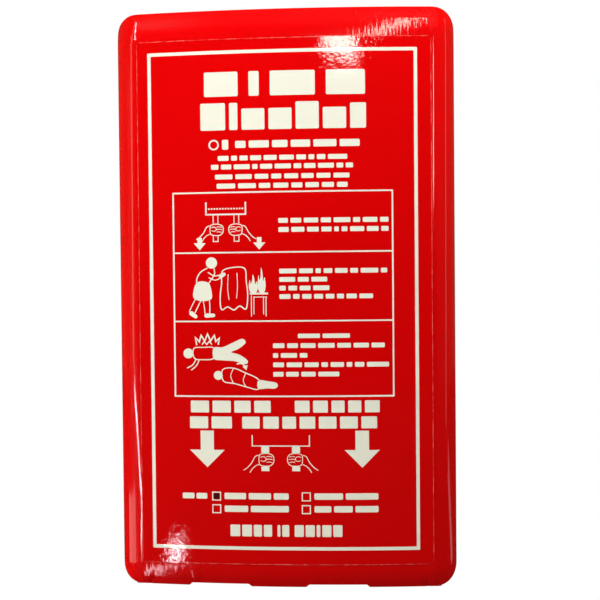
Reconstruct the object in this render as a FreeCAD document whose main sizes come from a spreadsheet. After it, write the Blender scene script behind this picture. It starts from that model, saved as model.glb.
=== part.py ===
"""Wall-hung hard case holding a folded fire blanket with two pull tapes.

The case is two moulded shells, a deep front cover and a shallow back cover, snapped together at the sides and top.
Its underside is open: the folded blanket slides out there when the two webbing tapes are pulled down.

Millimetres. Origin at the centre of the back cover's wall face. +X is the viewer's right, -Y faces the viewer, +Z is up.
"""

import FreeCAD
import Part
import math
import os

import Sketcher
from FreeCAD import Placement, Rotation, Vector

doc = FreeCAD.newDocument("FireBlanket")

# ---------------------------------------------------------------- driving dimensions
CELLS = [
    # outer case
    ("case_w", 165.0, "case width"),
    ("case_h", 277.0, "case height"),
    ("case_d", 36.0, "wall face to the crown of the front cover"),
    ("part_y", 14.0, "depth of the parting line from the wall face"),
    ("wall", 1.8, "front cover wall"),
    ("back_wall", 2.0, "back cover wall"),
    ("corner_r", 10.5, "corner radius seen from the front"),
    ("crown_r", 700.0, "radius of the crowned front"),
    ("front_hw", 70.8, "half width of the label panel"),
    ("pillar_r", 16.0, "radius of the rounded long sides"),
    ("top_band", 14.4, "height of the rolled band above the label panel"),
    ("top_r", 30.0, "radius of the rolled band, top"),
    ("bot_band", 11.3, "height of the rolled band below the label panel"),
    ("bot_r", 26.0, "radius of the rolled band, bottom"),
    ("edge_r", 2.0, "small edge radius, top and bottom edge of the front"),
    ("back_fillet", 2.5, "edge radius of the wall face"),
    # bottom opening and tape notches
    ("mouth_w", 148.0, "width of the bottom opening"),
    ("mouth_front", 28.5, "depth of the opening's front lip from the wall face"),
    ("mouth_back", 3.2, "depth of the opening's back lip from the wall face"),
    ("notch_top_w", 27.0, "tape notch width at its root"),
    ("notch_low_w", 31.0, "tape notch width at its mouth"),
    ("notch_d", 1.6, "tape notch height in the front edge"),
    ("notch_lx", -32.3, "left notch centre"),
    ("notch_rx", 24.4, "right notch centre"),
    # joint between the covers
    ("spigot_t", 1.2, "thickness of the back cover's locating lip"),
    ("spigot_h", 2.2, "height of the locating lip above the parting line"),
    ("snap_w", 10.0, "snap hook width"),
    ("snap_t", 1.6, "snap hook thickness"),
    ("snap_reach", 19.0, "depth of the hook tip from the wall face"),
    ("snap_nose", 0.8, "hook nose"),
    ("snap_pitch", 88.0, "spacing of the side hooks"),
    ("snap_top_x", 25.0, "top hooks either side of the centre"),
    # inside ribs
    ("rib_t", 1.5, "rib thickness"),
    ("rib_face", 27.2, "depth of the front ribs' faces from the wall face"),
    ("rib_x", 58.0, "outer front ribs"),
    ("rib_mid_x", -3.6, "middle front rib"),
    ("rib_low", -124.0, "lower end of the ribs"),
    ("rib_high", 112.0, "upper end of the ribs"),
    ("rail_x", 73.2, "inner face of the side rails"),
    ("rail_y", 20.0, "depth of the side rails from the wall face"),
    ("stop_z", 115.8, "underside of the stop rib above the blanket"),
    ("stop_hw", 62.0, "half width of the stop rib"),
    ("stop_y", 18.0, "depth of the stop rib from the wall face"),
    # hanging keyholes
    ("key_dx", 45.0, "keyholes either side of the centre"),
    ("key_z", 122.0, "centre of the round entry"),
    ("key_r", 4.5, "radius of the round entry, passes the screw head"),
    ("key_slot_r", 2.4, "half width of the slot, takes the screw shank"),
    ("key_top", 130.0, "centre of the slot's upper end"),
    # stiffening grooves in the wall face
    ("groove_l", 110.0, "groove length between end centres"),
    ("groove_r", 3.0, "half width of a groove"),
    ("groove_d", 0.8, "groove depth"),
    ("groove_z", 40.0, "spacing of the grooves"),
    # label
    ("label_hw", 70.2, "label half width"),
    ("label_t", 0.2, "label thickness"),
    ("label_low", -126.7, "label lower edge"),
    ("label_high", 123.6, "label upper edge"),
    # folded blanket
    ("pack_hw", 72.0, "folded blanket half width"),
    ("pack_front", 26.2, "front of the folded blanket from the wall face"),
    ("pack_back", 4.2, "back of the folded blanket from the wall face"),
    ("pack_low", -135.0, "lower end of the folded blanket"),
    ("pack_high", 115.0, "upper end of the folded blanket"),
    ("pack_fold_r", 6.0, "rounding of the folded ends"),
    ("pack_side_r", 2.0, "rounding of the long edges"),
    # pull tapes
    ("tape_w", 25.0, "webbing width"),
    ("tape_t", 1.2, "webbing thickness"),
    ("tape_gap", 1.2, "gap between the two layers of a loop"),
    ("tape_back", 26.6, "back of the loop from the wall face"),
    ("tape_low", -138.2, "lowest point of a tucked loop"),
    ("tape_top", -30.0, "upper end of a tape"),
    # sewing thread
    ("thread_r", 0.3, "thread radius"),
    ("stitch_l", 2.6, "length of a stitch"),
    ("stitch_pitch", 3.9, "stitch pitch"),
    ("box_w", 18.0, "width of the box stitch on a tape"),
    ("box_h", 24.0, "height of the box stitch on a tape"),
    ("box_high", -33.0, "upper edge of the box stitch"),
    ("hem_x", 66.5, "hem seam from the centre"),
    ("hem_low", -126.0, "lower end of the hem seam"),
    ("hem_high", 106.0, "upper end of the hem seam"),
    ("hem_pitch", 6.0, "hem stitch pitch"),
    ("hem_stitch", 4.2, "hem stitch length"),
]

sheet = doc.addObject("Spreadsheet::Sheet", "Dims")
for row, (alias, value, note) in enumerate(CELLS, start=1):
    sheet.set(f"A{row}", note)
    sheet.set(f"B{row}", str(value))
    sheet.setAlias(f"B{row}", alias)
doc.recompute()
D = {alias: float(sheet.get(alias)) for alias, _, _ in CELLS}


def val(expr):
    """The number an expression on the sheet gives."""
    return float(sheet.evalExpression(str(expr)))


# ---------------------------------------------------------------- helpers
def body(name):
    return doc.addObject("PartDesign::Body", name)


def plane(b, role):
    return next(o for o in b.Origin.OriginFeatures if o.Role == role)


def sketch(b, name, role, offset=None):
    """A sketch on one of the body's own origin planes, offset along the plane's normal by an expression."""
    s = b.newObject("Sketcher::SketchObject", name)
    s.AttachmentSupport = [(plane(b, role), "")]
    s.MapMode = "FlatFace"
    if offset is not None:
        s.AttachmentOffset = Placement(Vector(0, 0, val(offset)), Rotation())
        s.setExpression("AttachmentOffset.Base.z", offset)
    return s


def pin_point(s, geo, pos, ex, ey):
    """Holds a sketch point at (ex, ey) with dimensions bound to the sheet."""
    for kind, expr, axis in (("DistanceX", ex, -2), ("DistanceY", ey, -1)):
        v = val(expr)
        if abs(v) < 1e-9:
            s.addConstraint(Sketcher.Constraint("PointOnObject", geo, pos, axis))
        else:
            i = s.addConstraint(Sketcher.Constraint(kind, -1, 1, geo, pos, v))
            s.setExpression(f"Constraints[{i}]", str(expr))


def outline(s, points, radii=None, closed=True):
    """A chain of lines and arcs through points, each an (x, y) pair of expressions.

    radii maps a segment's number to (radius expression, (x, y) expressions of a point the arc bulges towards[, "major"]).
    A half circle is held by its centre instead of its radius."""
    radii = radii or {}
    xy = [Vector(val(x), val(y), 0) for x, y in points]
    n = len(points) if closed else len(points) - 1
    ends = []
    for i in range(n):
        a, b = xy[i], xy[(i + 1) % len(xy)]
        if i in radii:
            rexpr, toward = radii[i][:2]
            r = val(rexpr)
            t = Vector(val(toward[0]), val(toward[1]), 0)
            mid = (a + b) * 0.5
            half = (b - a).Length / 2
            across = Vector(-(b - a).y, (b - a).x, 0).normalize()
            if (t - mid).dot(across) < 0:
                across = across * -1
            lift = math.sqrt(max(0.0, r * r - half * half))
            sag = r + lift if "major" in radii[i] else r - lift
            centre = mid + across * (sag - r)
            turn = [math.atan2(p.y - centre.y, p.x - centre.x) for p in (a, mid + across * sag, b)]
            ccw = (turn[1] - turn[0]) % (2 * math.pi) < (turn[2] - turn[0]) % (2 * math.pi)
            lo, hi = (turn[0], turn[2]) if ccw else (turn[2], turn[0])
            hi = lo + (hi - lo) % (2 * math.pi)
            g = s.addGeometry(Part.ArcOfCircle(Part.Circle(centre, Vector(0, 0, 1), r), lo, hi), False)
            ends.append((g, 1, 2) if ccw else (g, 2, 1))
            if lift > 1e-6:
                c = s.addConstraint(Sketcher.Constraint("Radius", g, r))
                s.setExpression(f"Constraints[{c}]", str(rexpr))
            else:
                level = abs(a.y - b.y) < 1e-9
                kind, expr, axis = ("DistanceY", points[i][1], -1) if level else ("DistanceX", points[i][0], -2)
                v = val(expr)
                if abs(v) < 1e-9:
                    s.addConstraint(Sketcher.Constraint("PointOnObject", g, 3, axis))
                else:
                    c = s.addConstraint(Sketcher.Constraint(kind, -1, 1, g, 3, v))
                    s.setExpression(f"Constraints[{c}]", str(expr))
        else:
            g = s.addGeometry(Part.LineSegment(a, b), False)
            ends.append((g, 1, 2))
    for i in range(n if closed else n - 1):
        g, _, e = ends[i]
        h, st, _ = ends[(i + 1) % n]
        s.addConstraint(Sketcher.Constraint("Coincident", g, e, h, st))
    for i in range(n):
        pin_point(s, ends[i][0], ends[i][1], *points[i])
    if not closed:
        pin_point(s, ends[-1][0], ends[-1][2], *points[-1])
    return s


def rectangle(s, x0, y0, x1, y1):
    return outline(s, [(x0, y0), (x1, y0), (x1, y1), (x0, y1)])


def round_rect(s, hw, hh, r):
    """Rounded rectangle about the sketch origin."""
    pts = [
        (f"{r}-{hw}", f"-{hh}"),
        (f"{hw}-{r}", f"-{hh}"),
        (f"{hw}", f"{r}-{hh}"),
        (f"{hw}", f"{hh}-{r}"),
        (f"{hw}-{r}", f"{hh}"),
        (f"{r}-{hw}", f"{hh}"),
        (f"-{hw}", f"{hh}-{r}"),
        (f"-{hw}", f"{r}-{hh}"),
    ]
    far = {
        1: (f"{hw}", f"-{hh}"),
        3: (f"{hw}", f"{hh}"),
        5: (f"-{hw}", f"{hh}"),
        7: (f"-{hw}", f"-{hh}"),
    }
    return outline(s, pts, {k: (r, v) for k, v in far.items()})


def pad(b, s, name, length, symmetric=False, flip=False):
    f = b.newObject("PartDesign::Pad", name)
    f.Profile = s
    f.Length = val(length)
    f.setExpression("Length", str(length))
    if symmetric:
        f.SideType = "Symmetric"
    f.Reversed = flip
    return f


def pocket(b, s, name, length, flip=False, symmetric=False):
    """A Pocket whose cut is checked: it must take volume away."""
    doc.recompute()
    before = b.Shape.Volume
    f = b.newObject("PartDesign::Pocket", name)
    f.Profile = s
    f.Length = val(length)
    f.setExpression("Length", str(length))
    if symmetric:
        f.SideType = "Symmetric"
    f.Reversed = flip
    doc.recompute()
    if "Invalid" in s.State or b.Shape.Volume > before - 1e-3:
        raise RuntimeError(f"{name} cuts nothing")
    return f


def fillet(b, base, name, radius, pick):
    """Fillets the edges of base for which pick(edge) holds."""
    doc.recompute()
    names = [f"Edge{i}" for i, e in enumerate(base.Shape.Edges, 1) if pick(e)]
    if not names:
        raise RuntimeError(f"{name} finds no edges")
    f = b.newObject("PartDesign::Fillet", name)
    f.Base = (base, names)
    f.Radius = val(radius)
    f.setExpression("Radius", str(radius))
    doc.recompute()
    return f


def along(e, axis, tol=1e-6):
    d = e.Vertexes[-1].Point - e.Vertexes[0].Point if len(e.Vertexes) > 1 else Vector()
    return e.Curve.TypeId == "Part::GeomLine" and d.Length > tol and abs(abs(d.normalize().dot(axis)) - 1) < tol


def block(name, x0, x1, y0, y1, z0, z1):
    """A Part::Box between two corners, each an expression."""
    o = doc.addObject("Part::Box", name)
    for prop, lo, hi, at in (
        ("Length", x0, x1, "x"),
        ("Width", y0, y1, "y"),
        ("Height", z0, z1, "z"),
    ):
        setattr(o, prop, val(f"({hi})-({lo})"))
        o.setExpression(prop, f"({hi})-({lo})")
        o.setExpression(f"Placement.Base.{at}", f"{lo}")
    return o


def boolean(kind, name, shapes):
    o = doc.addObject(kind, name)
    if kind == "Part::Cut":
        o.Base, o.Tool = shapes
    else:
        o.Shapes = shapes
    return o


XAX, YAX, ZAX = Vector(1, 0, 0), Vector(0, 1, 0), Vector(0, 0, 1)


# ---------------------------------------------------------------- front cover
def front_form(name, e, back_y):
    """The front cover's outer form (e = 0) or its hollow (e = wall).

    The cross-section, a crowned panel between two rounded long sides, is carried up a path that rolls back at both ends,
    and is then trimmed to the rounded outline."""
    W = f"(Dims.case_w/2-{e})"
    H = f"(Dims.case_h/2-{e})"
    DD = f"(Dims.case_d-{e})"
    RP = f"(Dims.pillar_r-{e})"
    RC = f"(Dims.crown_r-{e})"
    XP = f"(Dims.front_hw-0.14*{e})"
    SAG = f"({RC}-sqrt({RC}^2-{XP}^2))"
    YS = f"({DD}-{SAG}-sqrt({RP}^2-({XP}-({W}-{RP}))^2))"
    DROP_B = f"((Dims.bot_r-{e})-sqrt((Dims.bot_r-{e})^2-(Dims.bot_band-{e})^2))"
    DROP_T = f"((Dims.top_r-{e})-sqrt((Dims.top_r-{e})^2-(Dims.top_band-{e})^2))"
    b = body(name)
    path = sketch(b, name + "_path", "YZ_Plane")
    outline(
        path,
        [
            (f"{DROP_B}-{DD}", f"-{H}"),
            (f"-{DD}", "Dims.bot_band-Dims.case_h/2"),
            (f"-{DD}", "Dims.case_h/2-Dims.top_band"),
            (f"{DROP_T}-{DD}", f"{H}"),
        ],
        {
            0: (f"Dims.bot_r-{e}", (f"-{DD}-5", f"-{H}")),
            2: (f"Dims.top_r-{e}", (f"-{DD}-5", f"{H}")),
        },
        closed=False,
    )
    prof = sketch(b, name + "_section", "XY_Plane", offset=f"-{H}")
    back = f"{DROP_B}-5"
    outline(
        prof,
        [
            (f"-{W}", back),
            (f"-{W}", f"{DROP_B}-{YS}"),
            (f"-{XP}", f"{DROP_B}-({DD}-{SAG})"),
            (f"{XP}", f"{DROP_B}-({DD}-{SAG})"),
            (f"{W}", f"{DROP_B}-{YS}"),
            (f"{W}", back),
        ],
        {
            1: (RP, (f"-{W}", f"-{DD}")),
            2: (RC, ("0", f"-{DD}-5")),
            3: (RP, (f"{W}", f"-{DD}")),
        },
    )
    doc.recompute()
    pipe = b.newObject("PartDesign::AdditivePipe", name + "_sweep")
    pipe.Profile = prof
    pipe.Spine = (path, ["Edge1", "Edge2", "Edge3"])
    pipe.Mode = "Fixed"
    doc.recompute()
    b.Tip = pipe
    t = body(name + "_trim")
    s = sketch(t, name + "_outline", "XZ_Plane", offset=back_y)
    round_rect(s, W, H, f"(Dims.corner_r-{e})")
    pad(t, s, name + "_block", "Dims.case_d")
    doc.recompute()
    return boolean("Part::MultiCommon", name + "_form", [b, t])


outer = front_form("cover_outer", "0", "Dims.part_y")
hollow = front_form("cover_hollow", "Dims.wall", "Dims.part_y-1")
cover_shell = boolean("Part::Cut", "cover_shell", (outer, hollow))

# the open underside, and the lip's two tape notches
cuts = [
    block(
        "mouth_cut",
        "-Dims.mouth_w/2",
        "Dims.mouth_w/2",
        "-Dims.mouth_front",
        "-Dims.part_y+2",
        "-Dims.case_h/2-1",
        "-Dims.case_h/2+Dims.wall+0.6",
    )
]
for side, nx in (("left", "Dims.notch_lx"), ("right", "Dims.notch_rx")):
    nb = body(f"{side}_notch_tool")
    ns = sketch(nb, f"{side}_notch_sketch", "XZ_Plane", offset="Dims.mouth_front-1")
    outline(
        ns,
        [
            (f"{nx}-Dims.notch_low_w/2-1", "-Dims.case_h/2-1"),
            (f"{nx}+Dims.notch_low_w/2+1", "-Dims.case_h/2-1"),
            (f"{nx}+Dims.notch_low_w/2", "-Dims.case_h/2"),
            (f"{nx}+Dims.notch_top_w/2", "-Dims.case_h/2+Dims.notch_d"),
            (f"{nx}-Dims.notch_top_w/2", "-Dims.case_h/2+Dims.notch_d"),
            (f"{nx}-Dims.notch_low_w/2", "-Dims.case_h/2"),
        ],
    )
    pad(nb, ns, f"{side}_notch_pad", "Dims.case_d-Dims.mouth_front+2")
    cuts.append(nb)
    cuts.append(
        block(
            f"{side}_lip_cut",
            f"{nx}-Dims.notch_top_w/2",
            f"{nx}+Dims.notch_top_w/2",
            "-Dims.mouth_front-3.2",
            "-Dims.mouth_front+1",
            "-Dims.case_h/2-1",
            "-Dims.case_h/2+Dims.wall+0.6",
        )
    )
# pockets in the side and top walls where the hooks' noses seat
for side, sg in (("l", "-1"), ("r", "1")):
    for i, z in enumerate(("-Dims.snap_pitch", "0", "Dims.snap_pitch")):
        inner, deep = "(Dims.case_w/2-Dims.wall-0.2)", "(Dims.case_w/2-0.9)"
        x0, x1 = (f"-{deep}", f"-{inner}") if sg == "-1" else (inner, deep)
        cuts.append(
            block(
                f"seat_{side}{i}",
                x0,
                x1,
                "-Dims.snap_reach-0.2",
                "-Dims.snap_reach+2.4",
                f"{z}-Dims.snap_w/2-0.4",
                f"{z}+Dims.snap_w/2+0.4",
            )
        )
for i, sx in enumerate(("-Dims.snap_top_x", "Dims.snap_top_x")):
    cuts.append(
        block(
            f"seat_t{i}",
            f"{sx}-Dims.snap_w/2-0.4",
            f"{sx}+Dims.snap_w/2+0.4",
            "-Dims.snap_reach-0.2",
            "-Dims.snap_reach+2.4",
            "Dims.case_h/2-Dims.wall-0.2",
            "Dims.case_h/2-0.9",
        )
    )
cut_tool = boolean("Part::MultiFuse", "cover_cuts", cuts)
cover_cut = boolean("Part::Cut", "cover_cut", (cover_shell, cut_tool))
# guide ribs behind the label panel
ribs = []
for i, (rx, embed) in enumerate(
    (("-Dims.rib_x", "2.9"), ("Dims.rib_mid_x", "1"), ("Dims.rib_x", "2.9"))
):
    ribs.append(
        block(
            f"cover_rib{i}",
            f"{rx}-Dims.rib_t/2",
            f"{rx}+Dims.rib_t/2",
            f"-Dims.case_d+{embed}",
            "-Dims.rib_face",
            "Dims.rib_low",
            "Dims.rib_high",
        )
    )
front_cover = boolean("Part::MultiFuse", "FrontCover", [cover_cut, *ribs])
front_cover.Label = "front_cover"

# ---------------------------------------------------------------- back cover
bc = body("back_tray")
s = sketch(bc, "tray_outline", "XZ_Plane")
round_rect(s, "(Dims.case_w/2)", "(Dims.case_h/2)", "Dims.corner_r")
tray_pad = pad(bc, s, "tray_pad", "Dims.part_y")
tray_fillet = fillet(
    bc, tray_pad, "tray_edge", "Dims.back_fillet", lambda e: all(abs(v.Y) < 1e-6 for v in e.Vertexes)
)
s = sketch(bc, "tray_hollow", "XZ_Plane", offset="Dims.back_wall")
round_rect(
    s,
    "(Dims.case_w/2-Dims.back_wall)",
    "(Dims.case_h/2-Dims.back_wall)",
    "(Dims.corner_r-Dims.back_wall)",
)
pocket(bc, s, "tray_hollow_cut", "Dims.part_y", flip=True)
s = sketch(bc, "tray_mouth", "XZ_Plane", offset="Dims.mouth_back")
rectangle(
    s,
    "-Dims.mouth_w/2",
    "-Dims.case_h/2-1",
    "Dims.mouth_w/2",
    "-Dims.case_h/2+Dims.back_wall+0.5",
)
pocket(bc, s, "tray_mouth_cut", "Dims.part_y", flip=True)
for side, sg in (("left", "-"), ("right", "")):
    s = sketch(bc, f"{side}_keyhole", "XZ_Plane", offset="-1")
    kx = f"({sg}Dims.key_dx)"
    root = "(Dims.key_z+sqrt(Dims.key_r^2-Dims.key_slot_r^2))"
    outline(
        s,
        [
            (f"{kx}-Dims.key_slot_r", root),
            (f"{kx}+Dims.key_slot_r", root),
            (f"{kx}+Dims.key_slot_r", "Dims.key_top"),
            (f"{kx}-Dims.key_slot_r", "Dims.key_top"),
        ],
        {
            0: ("Dims.key_r", (kx, "Dims.key_z-Dims.key_r"), "major"),
            2: ("Dims.key_slot_r", (kx, "Dims.key_top+Dims.key_slot_r")),
        },
    )
    pocket(bc, s, f"{side}_keyhole_cut", "Dims.back_wall+2", flip=True)
for i, k in enumerate(("-2", "-1", "1", "2")):
    s = sketch(bc, f"groove{i}", "XZ_Plane", offset="-1")
    gz = f"({k}*Dims.groove_z)"
    outline(
        s,
        [
            ("-Dims.groove_l/2", f"{gz}-Dims.groove_r"),
            ("Dims.groove_l/2", f"{gz}-Dims.groove_r"),
            ("Dims.groove_l/2", f"{gz}+Dims.groove_r"),
            ("-Dims.groove_l/2", f"{gz}+Dims.groove_r"),
        ],
        {
            1: ("Dims.groove_r", ("Dims.groove_l/2+5", gz)),
            3: ("Dims.groove_r", ("-Dims.groove_l/2-5", gz)),
        },
    )
    pocket(bc, s, f"groove_cut{i}", "Dims.groove_d+1", flip=True)

# locating lip: a ring that stands inside the front cover's wall
ring = []
for nm, inset in (
    ("spigot_outer", "Dims.back_wall"),
    ("spigot_inner", "(Dims.back_wall+Dims.spigot_t)"),
):
    rb = body(nm)
    s = sketch(rb, nm + "_sketch", "XZ_Plane", offset="Dims.part_y-2.5" if nm == "spigot_outer" else "Dims.part_y-3.5")
    round_rect(s, f"(Dims.case_w/2-{inset})", f"(Dims.case_h/2-{inset})", f"(Dims.corner_r-{inset})")
    pad(rb, s, nm + "_pad", "Dims.spigot_h+2.5" if nm == "spigot_outer" else "Dims.spigot_h+4.5")
    ring.append(rb)
spigot_ring = boolean("Part::Cut", "spigot_ring", tuple(ring))
spigot = boolean(
    "Part::Cut",
    "spigot",
    (
        spigot_ring,
        block(
            "spigot_gap",
            "-Dims.mouth_w/2",
            "Dims.mouth_w/2",
            "-Dims.case_d",
            "-Dims.mouth_back",
            "-Dims.case_h/2-1",
            "-Dims.case_h/2+Dims.back_wall+Dims.spigot_t+1",
        ),
    ),
)


def hook(name, at, where):
    """A cantilever snap hook: a flat stem with a ramped nose, drawn in profile and padded to its width."""
    hb = body(name)
    face = "(Dims.case_w/2-Dims.back_wall)" if where != "top" else "(Dims.case_h/2-Dims.back_wall)"
    sg = "-" if where == "left" else ""
    hs = sketch(hb, name + "_profile", "XY_Plane" if where != "top" else "YZ_Plane", offset=at)
    stem = f"({face}-Dims.snap_t)"
    nose = f"({face}+Dims.snap_nose)"
    back, tip = "-Dims.back_wall+0.5", "-Dims.snap_reach"
    pts = [
        (stem, back),
        (face, back),
        (face, f"{tip}+2.2"),
        (nose, f"{tip}+2.2"),
        (nose, f"{tip}+1.6"),
        (f"{face}-0.3", tip),
        (stem, tip),
    ]
    if where == "top":
        pts = [(y, x) for x, y in pts]
    else:
        pts = [(f"{sg}{x}" if sg else x, y) for x, y in pts]
        if where == "left":
            pts = [(f"-({x[1:]})", y) for x, y in pts]
    outline(hs, pts)
    pad(hb, hs, name + "_pad", "Dims.snap_w", symmetric=True)
    return hb


hooks = []
for i, z in enumerate(("-Dims.snap_pitch", "0", "Dims.snap_pitch")):
    hooks.append(hook(f"hook_l{i}", z, "left"))
    hooks.append(hook(f"hook_r{i}", z, "right"))
for i, sx in enumerate(("-Dims.snap_top_x", "Dims.snap_top_x")):
    hooks.append(hook(f"hook_t{i}", sx, "top"))
rails = [
    block("rail_l", "-Dims.rail_x-Dims.rib_t", "-Dims.rail_x", "-Dims.rail_y", "-Dims.back_wall+0.5", "Dims.rib_low", "Dims.rib_high"),
    block("rail_r", "Dims.rail_x", "Dims.rail_x+Dims.rib_t", "-Dims.rail_y", "-Dims.back_wall+0.5", "Dims.rib_low", "Dims.rib_high"),
    block("stop_rib", "-Dims.stop_hw", "Dims.stop_hw", "-Dims.stop_y", "-Dims.back_wall+0.5", "Dims.stop_z", "Dims.stop_z+Dims.rib_t"),
]
for i, x in enumerate(("-48", "-16", "16", "48")):
    rails.append(
        block(f"pad_rib{i}", f"{x}-Dims.rib_t/2", f"{x}+Dims.rib_t/2", "-Dims.back_wall-1.6", "-Dims.back_wall+0.5", "Dims.rib_low", "Dims.rib_high")
    )
back_cover = boolean("Part::MultiFuse", "BackCover", [bc, spigot, *hooks, *rails])
back_cover.Label = "back_cover"

# ---------------------------------------------------------------- label
lb = body("label_body")
lb.Label = "front_label"
SAGL = "(Dims.crown_r-sqrt(Dims.crown_r^2-Dims.label_hw^2))"
RL = "(Dims.crown_r+Dims.label_t)"
SAGO = f"({RL}-sqrt({RL}^2-Dims.label_hw^2))"
s = sketch(lb, "label_section", "XY_Plane", offset="Dims.label_low")
outline(
    s,
    [
        ("-Dims.label_hw", f"-Dims.case_d+{SAGL}"),
        ("Dims.label_hw", f"-Dims.case_d+{SAGL}"),
        ("Dims.label_hw", f"-Dims.case_d-Dims.label_t+{SAGO}"),
        ("-Dims.label_hw", f"-Dims.case_d-Dims.label_t+{SAGO}"),
    ],
    {
        0: ("Dims.crown_r", ("0", "-Dims.case_d-5")),
        2: (RL, ("0", "-Dims.case_d-5")),
    },
)
pad(lb, s, "label_pad", "Dims.label_high-Dims.label_low")

# ---------------------------------------------------------------- folded blanket
pk = body("blanket_body")
pk.Label = "folded_blanket"
s = sketch(pk, "blanket_section", "XY_Plane", offset="Dims.pack_low")
rectangle(s, "-Dims.pack_hw", "-Dims.pack_front", "Dims.pack_hw", "-Dims.pack_back")
f0 = pad(pk, s, "blanket_pad", "Dims.pack_high-Dims.pack_low")
f1 = fillet(pk, f0, "blanket_folds", "Dims.pack_fold_r", lambda e: along(e, XAX))
fillet(
    pk,
    f1,
    "blanket_sides",
    "Dims.pack_side_r",
    lambda e: along(e, ZAX) and e.Length > 100,
)

# ---------------------------------------------------------------- pull tapes
for side, nx in (("left", "Dims.notch_lx"), ("right", "Dims.notch_rx")):
    tb = body(f"{side}_tape_body")
    tb.Label = f"{side}_pull_tape"
    s = sketch(tb, f"{side}_tape_path", "YZ_Plane", offset=nx)
    ro = "(Dims.tape_t+Dims.tape_gap/2)"
    ri = "(Dims.tape_gap/2)"
    y0 = "(-Dims.tape_back)"  # back face of the loop
    y1 = f"({y0}-Dims.tape_t)"
    y2 = f"({y1}-Dims.tape_gap)"
    y3 = f"({y2}-Dims.tape_t)"
    zc = f"(Dims.tape_low+{ro})"
    outline(
        s,
        [
            (y0, "Dims.tape_top"),
            (y0, zc),
            (y3, zc),
            (y3, "Dims.tape_top"),
            (y2, "Dims.tape_top"),
            (y2, zc),
            (y1, zc),
            (y1, "Dims.tape_top"),
        ],
        {1: (ro, (y0, f"{zc}-5")), 5: (ri, (y0, f"{zc}-5"))},
    )
    pad(tb, s, f"{side}_tape_pad", "Dims.tape_w", symmetric=True)

doc.recompute()


# ---------------------------------------------------------------- sewing thread
def stitches(points, pitch, length, r, y):
    """Short lengths of thread laid end to end along straight seams in the X-Z plane."""
    out = []
    for (x0, z0), (x1, z1) in points:
        run = math.hypot(x1 - x0, z1 - z0)
        d = Vector((x1 - x0) / run, 0, (z1 - z0) / run)
        n = max(1, int(run // pitch))
        gap = (run - n * length) / n
        for k in range(n):
            a = Vector(x0, y, z0) + d * (gap / 2 + k * (length + gap))
            out.append(Part.makeCylinder(r, length, a, d))
    return out


for side in ("left", "right"):
    cx = D["notch_lx"] if side == "left" else D["notch_rx"]
    hw, top, low = D["box_w"] / 2, D["box_high"], D["box_high"] - D["box_h"]
    y = -(D["tape_back"] + 2 * D["tape_t"] + D["tape_gap"] + D["thread_r"] + 0.03)
    i = 1.6  # the diagonals stop short of the corners, clear of the border stitches
    seams = [
        ((cx - hw + i, top), (cx + hw - i, top)),
        ((cx - hw + i, low), (cx + hw - i, low)),
        ((cx - hw, low + i), (cx - hw, top - i)),
        ((cx + hw, low + i), (cx + hw, top - i)),
        ((cx - hw + i, low + i), (cx - 1, (low + top) / 2 - 1.2)),
        ((cx + 1, (low + top) / 2 + 1.2), (cx + hw - i, top - i)),
        ((cx - hw + i, top - i), (cx - 1, (low + top) / 2 + 1.2)),
        ((cx + 1, (low + top) / 2 - 1.2), (cx + hw - i, low + i)),
    ]
    o = doc.addObject("Part::Feature", f"{side}_stitching")
    o.Label = f"{side}_tape_stitching"
    o.Shape = Part.makeCompound(stitches(seams, D["stitch_pitch"], D["stitch_l"], D["thread_r"], y))
    o.Placement = Placement(Vector(0, 0, 0), Rotation())
y = -(D["pack_front"] + D["thread_r"] + 0.03)
hem = doc.addObject("Part::Feature", "hem_thread")
hem.Label = "hem_stitching"
hem.Shape = Part.makeCompound(
    stitches(
        [((sx * D["hem_x"], D["hem_low"]), (sx * D["hem_x"], D["hem_high"])) for sx in (-1, 1)],
        D["hem_pitch"],
        D["hem_stitch"],
        D["thread_r"],
        y,
    )
)
hem.Placement = Placement(Vector(0, 0, 0), Rotation())

doc.recompute()

# ---------------------------------------------------------------- check and write
for o in doc.Objects:
    if "Invalid" in o.State or "Error" in o.State:
        raise RuntimeError(f"{o.Name} failed to build: {o.State}")

NODES = [
    "front_cover",
    "back_cover",
    "front_label",
    "folded_blanket",
    "hem_stitching",
    "left_pull_tape",
    "right_pull_tape",
    "left_tape_stitching",
    "right_tape_stitching",
]
os.makedirs("parts", exist_ok=True)
for label in NODES:
    found = doc.getObjectsByLabel(label)
    if len(found) != 1:
        raise RuntimeError(f"{label}: {len(found)} objects carry this label")
    shape = found[0].Shape
    if shape.isNull() or not shape.isValid() or shape.Volume <= 0 or not shape.Solids:
        raise RuntimeError(f"{label} is not a valid solid")
    shape.exportStep(os.path.join("parts", label + ".step"))
    bb = shape.BoundBox
    print(
        f"{label:24s} solids {len(shape.Solids):3d} volume {shape.Volume:10.1f} "
        f"x {bb.XMin:7.2f} {bb.XMax:7.2f} y {bb.YMin:7.2f} {bb.YMax:7.2f} z {bb.ZMin:7.2f} {bb.ZMax:7.2f}"
    )
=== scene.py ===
"""Fire blanket in a red wall case, with two pull tapes hanging from its open foot.

The wall face lies at y = 0 and the front faces -Y; +Z is up and -X is the left side seen from
the front. Lengths are in millimetres up to the point where a mesh or object is made in metres.
"""
import math
from collections import namedtuple
from functools import cache

import bmesh
import bpy
import numpy as np
from mathutils import Matrix, Vector


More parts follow.
